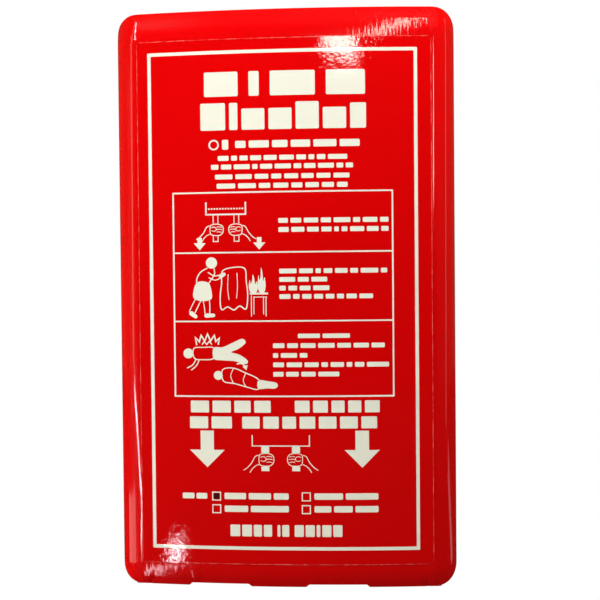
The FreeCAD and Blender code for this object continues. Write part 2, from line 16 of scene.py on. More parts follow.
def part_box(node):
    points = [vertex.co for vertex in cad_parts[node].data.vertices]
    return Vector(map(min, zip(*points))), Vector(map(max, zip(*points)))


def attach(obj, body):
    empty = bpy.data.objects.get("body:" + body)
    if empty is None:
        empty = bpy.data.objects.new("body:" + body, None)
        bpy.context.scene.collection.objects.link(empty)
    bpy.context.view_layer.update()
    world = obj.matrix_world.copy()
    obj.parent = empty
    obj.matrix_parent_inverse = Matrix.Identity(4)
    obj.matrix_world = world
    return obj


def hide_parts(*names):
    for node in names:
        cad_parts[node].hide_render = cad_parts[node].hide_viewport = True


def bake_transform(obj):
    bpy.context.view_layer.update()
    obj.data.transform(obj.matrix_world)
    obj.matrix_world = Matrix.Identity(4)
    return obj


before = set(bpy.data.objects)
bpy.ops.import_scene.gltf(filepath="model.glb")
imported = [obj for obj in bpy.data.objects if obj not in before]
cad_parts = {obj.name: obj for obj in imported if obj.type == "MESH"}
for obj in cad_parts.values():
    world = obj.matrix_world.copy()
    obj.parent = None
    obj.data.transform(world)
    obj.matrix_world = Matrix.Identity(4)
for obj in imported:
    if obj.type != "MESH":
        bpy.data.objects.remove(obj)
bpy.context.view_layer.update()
MM = 0.001


def centre_x(node):
    low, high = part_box(node)
    return (low.x + high.x) / 2 / MM


# ---------------------------------------------------------------- driving sizes
COVER_LOW, COVER_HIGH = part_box("front_cover")
LABEL_LOW, LABEL_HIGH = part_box("front_label")
BLANKET_HALF_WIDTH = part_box("folded_blanket")[1].x / MM

HALF_WIDTH = COVER_HIGH.x / MM
HALF_HEIGHT = COVER_HIGH.z / MM
DEPTH = -COVER_LOW.y / MM  # wall face to the crown
PARTING_Y = COVER_HIGH.y / MM
WALL = 1.8
CORNER_R = 10.5  # corners of the outline
CORNER_X, CORNER_Z = HALF_WIDTH - CORNER_R, HALF_HEIGHT - CORNER_R

PANEL_X = 70.8  # half width of the label panel
CROWN_R = 700.0
SIDE_R = 16.0  # rolled long sides
TOP_BAND, TOP_BAND_R = 14.4, 30.0  # height and radius of the rolled band above the panel
LOW_BAND, LOW_BAND_R = 11.3, 26.0  # and of the one below it
TOP_BAND_Z, LOW_BAND_Z = HALF_HEIGHT - TOP_BAND, -HALF_HEIGHT + LOW_BAND

MOUTH_X = 74.0  # half width of the open foot
MOUTH_Y = -28.5  # rim of the cover along the open foot
NOTCH_Y = -31.9  # rim inside the tape notches
NOTCH_DEPTH = 1.6
NOTCH_OUTER, NOTCH_INNER = 15.5, 13.5  # half widths at the foot and at the top of a notch
TAPE_X = [centre_x("left_pull_tape"), centre_x("right_pull_tape")]


# ---------------------------------------------------------------- mesh helpers
def link_object(name, data):
    obj = bpy.data.objects.new(name, data)
    bpy.context.scene.collection.objects.link(obj)
    return obj


def smooth_object(name, mesh, material, sharp):
    """A smooth-shaded object whose edges stay crisp where they turn by sharp degrees or more."""
    mesh.materials.append(material)
    mesh.polygons.foreach_set("use_smooth", [True] * len(mesh.polygons))
    obj = link_object(name, mesh)
    bm = bmesh.new()
    bm.from_mesh(mesh)
    limit = math.radians(sharp)
    for edge in bm.edges:
        if len(edge.link_faces) == 2:
            edge.smooth = edge.calc_face_angle(0.0) < limit
    bm.to_mesh(mesh)
    bm.free()
    mesh.update()
    return obj


def object_from_lists(name, verts, faces, material, sharp):
    """An object from vertices in millimetres and faces."""
    mesh = bpy.data.meshes.new(name)
    mesh.from_pydata((np.asarray(verts, float) * MM).tolist(), [], faces)
    mesh.validate()
    mesh.update()
    return smooth_object(name, mesh, material, sharp)


def object_from_bmesh(name, bm, material, sharp):
    """An object from a bmesh in metres, which is freed."""
    mesh = bpy.data.meshes.new(name)
    bm.to_mesh(mesh)
    bm.free()
    return smooth_object(name, mesh, material, sharp)


def join(objects):
    """Joins objects into the first, which keeps its name."""
    bpy.ops.object.select_all(action="DESELECT")
    for obj in objects:
        obj.select_set(True)
    bpy.context.view_layer.objects.active = objects[0]
    bpy.ops.object.join()
    return objects[0]


# ---------------------------------------------------------------- node helpers
def feed(tree, socket, value):
    """Links an output to a socket, or sets its value; colours are given without alpha."""
    if isinstance(value, bpy.types.NodeSocket):
        tree.links.new(value, socket)
    elif socket.type == "RGBA":
        socket.default_value = (*value, 1)
    else:
        socket.default_value = value


def add_node(tree, kind, inputs=None, **settings):
    """A node with its settings and inputs; an input of None keeps its default."""
    node = tree.nodes.new(kind)
    for key, value in settings.items():
        setattr(node, key, value)
    for key, value in (inputs or {}).items():
        if value is not None:
            feed(tree, node.inputs[key], value)
    return node


class Shader:
    """A material with one Principled surface, and short builders for its nodes."""

    def __init__(self, name):
        self.material = bpy.data.materials.new(name)
        self.material.use_nodes = True
        self.tree = self.material.node_tree
        self.tree.nodes.clear()
        output = self.node("ShaderNodeOutputMaterial")
        self.surface = self.node("ShaderNodeBsdfPrincipled")
        self.tree.links.new(self.surface.outputs[0], output.inputs[0])

    def node(self, kind, inputs=None, **settings):
        return add_node(self.tree, kind, inputs, **settings)

    def set(self, name, value):
        feed(self.tree, self.surface.inputs[name], value)

    def coord(self, scale=(1, 1, 1)):
        place = self.node("ShaderNodeTexCoord").outputs["Object"]
        return self.node("ShaderNodeMapping", {"Scale": scale, "Vector": place}).outputs[0]

    def noise(self, vector, scale, detail=2.0, rough=0.5):
        inputs = {"Scale": scale, "Detail": detail, "Roughness": rough, "Vector": vector}
        return self.node("ShaderNodeTexNoise", inputs).outputs["Fac"]

    def calc(self, operation, a, b=None):
        return self.node("ShaderNodeMath", {0: a, 1: b}, operation=operation).outputs[0]

    def add(self, a, b):
        return self.calc("ADD", a, b)

    def sub(self, a, b):
        return self.calc("SUBTRACT", a, b)

    def mul(self, a, b):
        return self.calc("MULTIPLY", a, b)

    def remap(self, value, source, to=(0.0, 1.0)):
        """Maps the range source onto the range to, clamped."""
        inputs = {0: value, 1: source[0], 2: source[1], 3: to[0], 4: to[1]}
        return self.node("ShaderNodeMapRange", inputs).outputs[0]

    def mix(self, factor, a, b):
        return self.node("ShaderNodeMix", {0: factor, 6: a, 7: b}, data_type="RGBA").outputs[2]

    def bump(self, height, distance, strength, normal=None):
        inputs = {"Strength": strength, "Distance": distance, "Height": height, "Normal": normal}
        return self.node("ShaderNodeBump", inputs).outputs[0]

    def split(self, vector):
        return self.node("ShaderNodeSeparateXYZ", {0: vector}).outputs


def scaled(colour, factor):
    return tuple(min(1.0, channel * factor) for channel in colour)


# ---------------------------------------------------------------- materials
def red_plastic(name, bevel=None):
    """Glossy moulded plastic: slow waviness, streaks along the rolled bands, faint scuffs."""
    s = Shader(name)
    v = s.coord()
    slow = s.noise(v, scale=26.0, rough=0.45)
    fine = s.noise(v, scale=240.0)
    streak = s.noise(s.coord(scale=(1.0, 1.0, 0.07)), scale=800.0, detail=1.5)
    above = s.calc("GREATER_THAN", s.split(v)[2], 0.1236)
    below = s.calc("LESS_THAN", s.split(v)[2], -0.1268)
    on_band = s.add(above, below)
    streak = s.mul(streak, s.add(0.12, on_band))
    tint = s.noise(v, scale=9.0, detail=3.0)
    dust = s.remap(s.noise(v, scale=900.0, detail=4.0, rough=0.7), (0.62, 0.8))
    colour = s.mix(s.remap(tint, (0.3, 0.7)), (0.62, 0.0012, 0.0016), (0.58, 0.0010, 0.0014))
    colour = s.mix(s.mul(dust, 0.03), colour, (0.85, 0.35, 0.30))
    s.set("Base Color", colour)
    rough = s.remap(slow, (0.3, 0.7), to=(0.05, 0.09))
    s.set("Roughness", s.add(rough, s.mul(dust, 0.12)))
    s.set("IOR", 1.5)
    normal = None
    if bevel:
        normal = s.node("ShaderNodeBevel", {"Radius": bevel}, samples=6).outputs[0]
    normal = s.bump(slow, distance=0.00045, strength=0.12, normal=normal)
    normal = s.bump(streak, distance=0.00005, strength=1.0, normal=normal)
    s.set("Normal", s.bump(fine, distance=0.00002, strength=0.35, normal=normal))
    return s.material


def vinyl(name, colours, specks, edge_line_glint=False, painted_top_shade=None):
    """Glossy laminated sticker: a fine orange peel that breaks highlights up."""
    s = Shader(name)
    v = s.coord()
    peel = s.noise(v, scale=780.0, detail=1.5)
    ripple = s.noise(v, scale=95.0)
    slow = s.noise(v, scale=22.0)
    tint = s.noise(v, scale=12.0, detail=3.0)
    grain = s.noise(v, scale=2600.0, rough=0.6)
    colour = s.mix(s.remap(tint, (0.3, 0.7)), *colours)
    speckle = s.remap(grain, (0.45, 0.75), to=(0.0, specks))
    colour = s.mix(speckle, colour, (0.35, 0.005, 0.005))
    if painted_top_shade:  # painted shade: the print is darker towards the top, to offset the brighter light there
        fade = s.remap(s.split(v)[2], (-0.09, 0.10), to=(0.0, 0.9))
        colour = s.mix(fade, colour, painted_top_shade)
    if edge_line_glint:  # a pale hair line along the sheet's edge: the cut edge, and a painted highlight for the glints along it
        x, _, z = s.split(v)
        side = s.remap(s.calc("ABSOLUTE", x), (0.0698, 0.0701))
        rim = s.calc("MAXIMUM", side, s.remap(z, (0.1232, 0.1235)))
        rim = s.calc("MAXIMUM", rim, s.remap(z, (-0.1263, -0.1266)))
        nick = s.noise(v, scale=260.0, detail=3.0, rough=0.6)
        nick = s.remap(nick, (0.42, 0.62), to=(0.12, 0.8))
        colour = s.mix(s.mul(rim, nick), colour, (0.80, 0.20, 0.17))
    s.set("Base Color", colour)
    s.set("Roughness", s.remap(ripple, (0.3, 0.7), to=(0.02, 0.045)))
    s.set("IOR", 1.5)
    normal = s.bump(slow, distance=0.0003, strength=0.12)
    normal = s.bump(ripple, distance=0.00006, strength=0.35, normal=normal)
    s.set("Normal", s.bump(peel, distance=0.00003, strength=0.85, normal=normal))
    return s.material


def woven_cloth(name, base, dark, pitch, depth):
    """Plain weave: over-and-under yarns along x and z, with slubs and slight soiling."""
    s = Shader(name)
    v = s.coord()
    warp = s.noise(v, scale=60.0)
    x, y, z = s.split(v)

    def wander():
        """A slow sideways drift of the yarns."""
        return s.mul(s.sub(warp, 0.5), pitch * 1.2)

    def ridge(across, along):
        return s.mul(s.calc("POWER", across, 0.55), s.add(0.55, s.mul(along, 0.45)))

    bent_x = s.add(x, wander())
    bent_z = s.add(s.sub(z, y), wander())
    sine_x = s.calc("SINE", s.mul(bent_x, math.pi / pitch))
    sine_z = s.calc("SINE", s.mul(bent_z, math.pi / pitch))
    over = s.calc("GREATER_THAN", s.mul(sine_x, sine_z), 0.0)
    yarn_x = s.calc("ABSOLUTE", sine_x)
    yarn_z = s.calc("ABSOLUTE", sine_z)
    warp_yarn = ridge(yarn_x, yarn_z)
    weft_yarn = ridge(yarn_z, yarn_x)
    height = s.add(s.mul(over, warp_yarn), s.mul(s.sub(1.0, over), weft_yarn))
    fibre = s.noise(v, scale=5200.0, rough=0.6)
    slub = s.noise(s.coord(scale=(1, 1, 0.06)), scale=900.0)
    stain = s.noise(v, scale=14.0, detail=4.0, rough=0.6)
    # painted shade: the low places between the yarns are darker
    colour = s.mix(s.remap(height, (0.1, 0.8)), dark, base)
    colour = s.mix(s.remap(stain, (0.45, 0.8), to=(0.0, 0.25)), colour, scaled(base, 0.86))
    colour = s.mix(s.remap(slub, (0.35, 0.65), to=(0.0, 0.16)), colour, scaled(base, 1.06))
    s.set("Base Color", colour)
    s.set("Roughness", s.remap(fibre, (0.3, 0.7), to=(0.52, 0.74)))
    s.set("Sheen Weight", 0.25)
    s.set("Sheen Roughness", 0.4)
    weave = s.add(height, s.mul(fibre, 0.25))
    normal = s.bump(weave, distance=depth, strength=0.9)
    s.set("Normal", s.bump(slub, distance=depth * 0.5, strength=0.4, normal=normal))
    return s.material


def webbing(name, base, dark, column, rib_pitch, yarn_pitch):
    """Narrow woven tape: chevron twill whose ribs turn back at each column."""
    s = Shader(name)
    v = s.coord()
    x, y, z = s.split(v)
    along = s.sub(z, y)
    zigzag = s.calc("PINGPONG", x, column)
    ribs = s.calc("SINE", s.mul(s.add(along, zigzag), 2 * math.pi / rib_pitch))
    yarns = s.calc("SINE", s.mul(x, 2 * math.pi / yarn_pitch))
    height = s.add(s.remap(ribs, (-1, 1), to=(0, 0.75)), s.remap(yarns, (-1, 1), to=(0, 0.25)))
    fuzz = s.noise(v, scale=4200.0, detail=3.0, rough=0.65)
    stain = s.noise(v, scale=40.0, detail=4.0, rough=0.6)
    # painted shade: the low places between the ribs are darker
    colour = s.mix(s.remap(height, (0.1, 0.8)), dark, base)
    colour = s.mix(s.remap(stain, (0.45, 0.8), to=(0.0, 0.3)), colour, scaled(base, 0.88))
    s.set("Base Color", colour)
    s.set("Roughness", s.remap(fuzz, (0.3, 0.7), to=(0.66, 0.86)))
    s.set("Sheen Weight", 0.35)
    normal = s.bump(height, distance=0.00013, strength=0.9)
    s.set("Normal", s.bump(fuzz, distance=0.00008, strength=0.5, normal=normal))
    return s.material


def sewing_thread(name, base):
    """Twisted thread: fine diagonal bands."""
    s = Shader(name)
    v = s.coord()
    inputs = {"Scale": 900.0, "Distortion": 1.5, "Vector": v}
    twist = s.node(
        "ShaderNodeTexWave", inputs, wave_type="BANDS", bands_direction="DIAGONAL"
    ).outputs["Fac"]
    fuzz = s.noise(v, scale=6000.0, rough=0.6)
    # painted shade: the thread is darker in the grooves of its twist
    s.set("Base Color", s.mix(twist, scaled(base, 0.7), base))
    s.set("Roughness", s.remap(fuzz, (0.3, 0.7), to=(0.45, 0.7)))
    s.set("Sheen Weight", 0.2)
    s.set("Normal", s.bump(twist, distance=0.00008, strength=0.8))
    return s.material


CASE_RED = red_plastic("case_red_gloss")
BACK_RED = red_plastic("case_red_back", bevel=0.0005)
LABEL_RED = vinyl(
    "label_red_vinyl",
    colours=((0.61, 0.0010, 0.0014), (0.57, 0.0010, 0.0012)),
    specks=0.02,
    # a pale line at the sheet's edge, partly a painted highlight
    edge_line_glint=True,
)
LABEL_PALE = vinyl(
    "label_pale_print",
    colours=((0.83, 0.82, 0.67), (0.80, 0.795, 0.645)),
    specks=0.0,
    # painted shade: the print's colour at the top of the label
    painted_top_shade=(0.70, 0.685, 0.57),
)
LABEL_DARK = vinyl(
    "label_dark_fill", colours=((0.03, 0.004, 0.004), (0.05, 0.006, 0.006)), specks=0.02
)
GLASS_CLOTH = woven_cloth(
    "glass_cloth",
    base=(0.78, 0.77, 0.71),
    dark=(0.50, 0.49, 0.44),
    pitch=0.0011,
    depth=0.00022,
)
WEBBING = webbing(
    "tape_webbing",
    base=(0.86, 0.85, 0.80),
    dark=(0.58, 0.57, 0.52),
    column=0.0031,
    rib_pitch=0.00125,
    yarn_pitch=0.00062,
)
THREAD = sewing_thread("sewing_thread", base=(0.82, 0.80, 0.72))


# ---------------------------------------------------------------- front surface of the case
# An inset of 0 gives the outer skin, an inset of WALL the inner one.
def crown_setback(x, inset=0.0):
    """How far the front stands back from its crown at x."""
    x = np.abs(np.asarray(x, float))
    crown_r, side_r = CROWN_R - inset, SIDE_R - inset
    edge = PANEL_X - 0.14 * inset
    side_x = HALF_WIDTH - inset - side_r
    edge_sag = crown_r - math.sqrt(crown_r * crown_r - edge * edge)
    side_y = edge_sag + math.sqrt(side_r * side_r - (edge - side_x) ** 2)
    reach = 4  # the blend at the panel's edge spans this much on both sides
    crown = crown_r - np.sqrt(crown_r * crown_r - np.minimum(x, edge + reach) ** 2)
    around = np.clip(x - side_x, 0, side_r)
    side = side_y - np.sqrt(np.maximum(side_r * side_r - around**2, 0))
    rounding = 0.16  # the panel's long edges are slightly rounded
    soft = (crown + side + np.sqrt((crown - side) ** 2 + rounding * rounding)) / 2
    t = np.clip(np.abs(x - edge) / reach, 0, 1)
    blended = soft * (1 - t) + np.maximum(crown, side) * t
    return np.where(x > edge + reach, side, np.where(x < edge - reach, crown, blended))


def band_setback(z, inset=0.0):
    """How far the rolled bands above and below the panel stand back at z."""
    z = np.asarray(z, float)
    top_r, low_r = TOP_BAND_R - inset, LOW_BAND_R - inset
    up = np.clip(z - TOP_BAND_Z, 0, TOP_BAND - inset)
    down = np.clip(LOW_BAND_Z - z, 0, LOW_BAND - inset)
    return (top_r - np.sqrt(top_r * top_r - up * up)) + (low_r - np.sqrt(low_r * low_r - down * down))


def front_y(x, z, inset=0.0):
    return -(DEPTH - inset) + crown_setback(x, inset) + band_setback(z, inset)


# ---------------------------------------------------------------- grid and edge columns
def grid_lines(special, limit, step, gap):
    """Lines from -limit to limit: the special ones, and regular ones that keep clear of them."""
    special = sorted({-limit, limit, *(s for s in special if -limit < s < limit)})
    regular = [
        float(v)
        for v in np.arange(-limit, limit, step)
        if min(abs(v - s) for s in special) > gap
    ]
    return np.array(sorted(special + regular))


PANEL_EDGE_LINES = (66, 68, 69, 69.6, 70.0, 70.3, 70.55, 70.8, 71.05, 71.35, 71.7)
NOTCH_LINES = (16.2, 15.5, 15.1, 14.7, 14.3, 13.9, 13.5, 13.25, 12.6, 11.6)
special_x = [sign * x for sign in (-1, 1) for x in PANEL_EDGE_LINES]
special_x += [centre + sign * x for centre in TAPE_X for x in NOTCH_LINES for sign in (-1, 1)]
special_z = [TOP_BAND_Z, LOW_BAND_Z, TOP_BAND_Z - 1, LOW_BAND_Z + 1]
GRID_X = grid_lines(special_x, CORNER_X, step=2.0, gap=0.7)
GRID_Z = grid_lines(special_z, CORNER_Z, step=2.6, gap=0.8)
NX, NZ = len(GRID_X), len(GRID_Z)

# A column runs from the rim round the edge to the grid. at(d) is its (x, z) at depth d from the
# outline, cut the notch height, rim_y the y of the rim, grid the (i, j) it ends on.
Column = namedtuple("Column", "at cut rim_y grid")
TURNS = [
    math.radians(v)
    for v in (3, 6, 9, 10.85, 11.15, 12.5, 15, 19, 23, 27, 31, 35, 39, 43, 47, 51, 55, 59, 63, 67,
              71, 75, 79, 82, 85, 87.5)
]
PROFILE_POINTS = 46


def bottom_column(i):
    """A column on the bottom edge, which the tape notches cut into."""
    x = GRID_X[i]
    cut = 0.0
    inside = False
    for centre in TAPE_X:
        t = np.clip((NOTCH_OUTER - abs(x - centre)) / (NOTCH_OUTER - NOTCH_INNER), 0, 1)
        cut = max(cut, NOTCH_DEPTH * t * t * (3 - 2 * t))
        inside = inside or abs(x - centre) <= NOTCH_INNER - 0.1
    return Column(lambda d: (x, -HALF_HEIGHT + d), cut, NOTCH_Y if inside else MOUTH_Y, (i, 0))


def corner_column(sign_x, sign_z, angle):
    cx, cz = sign_x * CORNER_X, sign_z * CORNER_Z
    c, s = math.cos(angle), math.sin(angle)
    in_mouth = cz < 0 and abs(cx + CORNER_R * c) < MOUTH_X
    return Column(
        lambda d: (cx + (CORNER_R - d) * c, cz + (CORNER_R - d) * s),
        0.0,
        MOUTH_Y if in_mouth else PARTING_Y,
        (NX - 1 if sign_x > 0 else 0, NZ - 1 if sign_z > 0 else 0),
    )


def side_column(sign, j):
    z = GRID_Z[j]
    grid = (NX - 1 if sign > 0 else 0, j)
    return Column(lambda d: (sign * (HALF_WIDTH - d), z), 0.0, PARTING_Y, grid)


def top_column(i):
    x = GRID_X[i]
    return Column(lambda d: (x, HALF_HEIGHT - d), 0.0, PARTING_Y, (i, NZ - 1))


COLUMNS = [
    *(bottom_column(i) for i in range(NX)),
    *(corner_column(1, -1, -math.pi / 2 + a) for a in TURNS),
    *(side_column(1, j) for j in range(NZ)),
    *(corner_column(1, 1, a) for a in TURNS),
    *(top_column(i) for i in reversed(range(NX))),
    *(corner_column(-1, 1, math.pi / 2 + a) for a in TURNS),
    *(side_column(-1, j) for j in reversed(range(NZ))),
    *(corner_column(-1, -1, math.pi * 1.5 - a) for a in reversed(TURNS)),
]


def profile(column, inset, edge_r, rim_r):
    """Points (x, y, z) of a column, from the rim to just short of the grid.

    A fillet of radius edge_r joins the side wall to the front; rim_r rounds the rim.
    """
    wall_d = column.cut + inset
    depth = wall_d + (CORNER_R - wall_d) * np.linspace(0, 1, 420) ** 2
    px, pz = np.array([column.at(d) for d in depth]).T
    skin_y = front_y(px, pz, inset)
    slope = np.gradient(skin_y, depth, edge_order=1)
    length = np.sqrt(1 + slope * slope)
    normal_d, normal_y = -slope / length, 1 / length

    # where the fillet touches the front: its centre lies edge_r inside both wall and front
    offset = depth + edge_r * normal_d
    centre_d = wall_d + edge_r
    if offset[0] >= centre_d - 1e-6:
        touch_d, touch_y, touch_nd, touch_ny = depth[0], skin_y[0], 1.0, 0.0
    else:
        i = int(np.argmax(offset >= centre_d))
        t = (centre_d - offset[i - 1]) / (offset[i] - offset[i - 1])
        touch_d, touch_y, touch_nd, touch_ny = (
            a[i - 1] + t * (a[i] - a[i - 1]) for a in (depth, skin_y, normal_d, normal_y)
        )
    centre_y = touch_y + edge_r * touch_ny

    points = []  # (depth, y)
    if rim_r > 0:
        for a in np.radians(np.linspace(90, 180, 7)):
            d = wall_d + rim_r + rim_r * math.cos(a)
            points.append((d, column.rim_y - rim_r + rim_r * math.sin(a)))
    else:
        points.append((wall_d, column.rim_y))
    start_y = points[-1][1]
    for t in np.linspace(0, 1, 30)[1:]:
        points.append((wall_d, start_y + (centre_y - start_y) * t))
    if touch_d > wall_d + 1e-4:
        end = math.atan2(-touch_ny, -touch_nd)
        end = end + 2 * math.pi if end < 0 else end
        for a in np.linspace(math.pi, end, 30)[1:]:
            points.append((centre_d + edge_r * math.cos(a), centre_y + edge_r * math.sin(a)))
    points += [(d, y) for d, y in zip(depth, skin_y) if d > touch_d + 1e-3]

    # even spacing by length, with more points where the line bends
    line = np.array(points)
    step = np.diff(line, axis=0)
    angle = np.unwrap(np.arctan2(step[:, 1], step[:, 0]))
    bend = np.concatenate([[0], np.abs(np.diff(angle))])
    weight_per_radian = 6.0
    travel = np.hypot(step[:, 0], step[:, 1]) + weight_per_radian * bend
    travel = np.concatenate([[0], np.cumsum(travel)])
    stations = np.linspace(0, travel[-1], PROFILE_POINTS + 1)[:-1]
    place = np.array([column.at(d) for d in np.interp(stations, travel, line[:, 0])])
    return np.stack([place[:, 0], np.interp(stations, travel, line[:, 1]), place[:, 1]], -1)


# ---------------------------------------------------------------- front cover
def cover_lists():
    """Vertices and faces of the closed shell: outer skin, inner skin and the rim between."""
    verts, faces = [], []
    next_column = [*range(1, len(COLUMNS)), 0]

    def add_face(face, flip):
        """Adds a face without its repeated corners, if three are left."""
        face = [v for k, v in enumerate(face) if v != face[k - 1]]
        if len(face) > 2:
            faces.append(face[::-1] if flip else face)

    def add_skin(inset, edge_radius, rim_r, flip):
        """Adds one skin and returns the index of its first rim vertex."""
        base = len(verts)
        for z in GRID_Z:
            verts.extend((x, float(front_y(x, z, inset)), z) for x in GRID_X)
        rim = len(verts)
        for column in COLUMNS:
            verts.extend(profile(column, inset, edge_radius(column), rim_r).tolist())
        for j in range(NZ - 1):
            for i in range(NX - 1):
                a = base + j * NX + i
                add_face([a, a + 1, a + 1 + NX, a + NX], flip)
        for c, n in enumerate(next_column):
            grid_a, grid_b = (base + j * NX + i for i, j in (COLUMNS[c].grid, COLUMNS[n].grid))
            for k in range(PROFILE_POINTS):
                a, b = rim + c * PROFILE_POINTS + k, rim + n * PROFILE_POINTS + k
                last = k == PROFILE_POINTS - 1
                add_face([a, b, grid_b if last else b + 1, grid_a if last else a + 1], flip)
        return rim

    outer = add_skin(0.0, lambda column: 2.0 - 1.2 * column.cut / NOTCH_DEPTH, 0.35, False)
    inner = add_skin(WALL, lambda column: 0.5, 0.0, True)
    for c, n in enumerate(next_column):
        a, b = c * PROFILE_POINTS, n * PROFILE_POINTS
        faces.append([outer + a, inner + a, inner + b, outer + b])
    return verts, faces


RIB_X = (-58.0, -3.6, 58.0)
RIB_HALF = 0.75  # half thickness at the root
RIB_LOW_Z, RIB_TOP_Z = -124.0, 112.0
RIB_FREE_Y = -27.2
RIB_ROOT_SINK = 0.7  # how deep the root sits in the wall
RIB_EDGE = 0.25  # draft over its height, and the bevel of its edges


def build_rib(number, x):
    """A thin upright blade on the inner skin, with draft and rounded edges."""
    bm = bmesh.new()
    loops = []
    root_y = float(front_y(x, 0.0, WALL)) - RIB_ROOT_SINK
    for y, cut in ((root_y, 0.0), (RIB_FREE_Y, RIB_EDGE)):
        x0, x1 = x - RIB_HALF + cut, x + RIB_HALF - cut
        z0, z1 = RIB_LOW_Z + cut, RIB_TOP_Z - cut
        corners = ((x0, z0), (x1, z0), (x1, z1), (x0, z1))
        loops.append([bm.verts.new((cx * MM, y * MM, cz * MM)) for cx, cz in corners])
    root, free = loops
    bm.faces.new(root)
    bm.faces.new(free[::-1])
    for i in range(4):
        j = (i + 1) % 4
        bm.faces.new([root[j], root[i], free[i], free[j]])
    bmesh.ops.recalc_face_normals(bm, faces=bm.faces)
    bmesh.ops.bevel(
        bm, geom=bm.edges[:], offset=RIB_EDGE * MM, segments=2, affect="EDGES", profile=0.5
    )
    return object_from_bmesh(f"rib_{number}", bm, CASE_RED, sharp=38)


def build_front_cover():
    shell = object_from_lists("front_cover_shell", *cover_lists(), CASE_RED, sharp=38)
    ribs = [build_rib(number, x) for number, x in enumerate(RIB_X)]
    cover = join([shell] + ribs)
    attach(cover, "case")
    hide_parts("front_cover")
    return cover


def finish_back_cover():
    """Keeps the CAD shell and shades its edges as moulded."""
    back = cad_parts["back_cover"]
    back.data.materials.clear()
    back.data.materials.append(BACK_RED)
    weld = back.modifiers.new("weld", "WELD")
    weld.merge_threshold = 2e-6
    split = back.modifiers.new("split", "EDGE_SPLIT")
    split.split_angle = math.radians(32)
    normals = back.modifiers.new("normals", "WEIGHTED_NORMAL")
    normals.keep_sharp = True
    normals.weight = 80
    return back


# ---------------------------------------------------------------- flat outlines, as (x, z) points
def round_rect(x0, z0, x1, z1, r, steps):
    r = min(r, abs(x1 - x0) / 2 - 1e-3, abs(z1 - z0) / 2 - 1e-3)
    corners = (
        (x1 - r, z0 + r, -90), (x1 - r, z1 - r, 0), (x0 + r, z1 - r, 90), (x0 + r, z0 + r, 180)
    )
    points = []
    for cx, cz, start in corners:
        for k in range(steps + 1):
            t = math.radians(start + 90 * k / steps)
            points.append((cx + r * math.cos(t), cz + r * math.sin(t)))
    return points


def circle(cx, cz, r, steps):
    turns = [2 * math.pi * k / steps for k in range(steps)]
    return [(cx + r * math.cos(t), cz + r * math.sin(t)) for t in turns]


def capsule(x0, z0, x1, z1, r0, r1):
    """A bar with round ends of radius r0 and r1."""
    angle = math.atan2(z1 - z0, x1 - x0)
    points = []
    for x, z, r, start in ((x0, z0, r0, math.pi / 2), (x1, z1, r1, -math.pi / 2)):
        for k in range(9):
            t = angle + start + math.pi * k / 8
            points.append((x + r * math.cos(t), z + r * math.sin(t)))
    return points


def stroke_sides(points, width, closed=False):
    """The left and right side of a line along points."""
    p = [np.array(q, float) for q in points]
    n = len(p)
    left, right = [], []
    for i in range(n):
        before = p[i - 1] if (i or closed) else p[i]
        after = p[(i + 1) % n] if (i < n - 1 or closed) else p[i]
        t1, t2 = p[i] - before, after - p[i]
        t1 = t1 / (np.linalg.norm(t1) or 1)
        t2 = t2 / (np.linalg.norm(t2) or 1)
        t = t1 + t2
        t = t / (np.linalg.norm(t) or 1)
        normal = np.array([-t[1], t[0]])
        run = t1 if np.any(t1) else t2
        mitre = max(0.5, float(np.dot(normal, np.array([-run[1], run[0]]))))
        left.append(tuple(p[i] + normal * width / 2 / mitre))
        right.append(tuple(p[i] - normal * width / 2 / mitre))
    return left, right


def spline(a, b, c, d, steps):
    """Points of a Catmull-Rom curve from b up to, but without, c."""
    return [
        tuple(
            0.5 * (2 * b + (c - a) * t + (2 * a - 5 * b + 4 * c - d) * t * t
                   + (3 * b - a - 3 * c + d) * t**3)
        )
        for t in (k / steps for k in range(steps))
    ]


def closed_curve(points, steps):
    p = np.array(points, float)
    n = len(p)
    out = []
    for i in range(n):
        out += spline(p[i - 1], p[i], p[(i + 1) % n], p[(i + 2) % n], steps)
    return out


def open_curve(points):
    p = np.array([points[0], *points, points[-1]], float)
    out = []
    for i in range(1, len(p) - 2):
        out += spline(*p[i - 1 : i + 3], 5)
    return out + [tuple(p[-2])]


def area(outline):
    p = np.array(outline)
    ahead = np.roll(p, -1, axis=0)
    return 0.5 * float(np.sum(p[:, 0] * ahead[:, 1] - ahead[:, 0] * p[:, 1]))


# ---------------------------------------------------------------- layers laid on the front
def flat_shape(outer, holes, step):
    """A triangulated shape in the plane y = 0, cut into strips step wide so that it can bend."""
    flat = bmesh.new()
    if holes:
        edges = []
        for outline in [outer] + holes:
            ring = [flat.verts.new((x, 0, z)) for x, z in outline]
            edges += [flat.edges.new((v, ring[(i + 1) % len(ring)])) for i, v in enumerate(ring)]
        bmesh.ops.triangle_fill(flat, use_beauty=True, use_dissolve=False, edges=edges)
    else:
        outer = outer if area(outer) > 0 else outer[::-1]
        flat.faces.new([flat.verts.new((x, 0, z)) for x, z in outer]).normal_update()
        bmesh.ops.triangulate(flat, faces=flat.faces, ngon_method="EAR_CLIP")
    for face in flat.faces:
        face.normal_update()
    low = min(v.co.x for v in flat.verts)
    high = max(v.co.x for v in flat.verts)
    x = math.ceil(low / step) * step
    while x < high:
        if low + 0.05 < x < high - 0.05:
            geom = flat.verts[:] + flat.edges[:] + flat.faces[:]
            bmesh.ops.bisect_plane(
                flat, geom=geom, plane_co=(x, 0, 0), plane_no=(1, 0, 0), dist=1e-5
            )
        x += step
    return flat


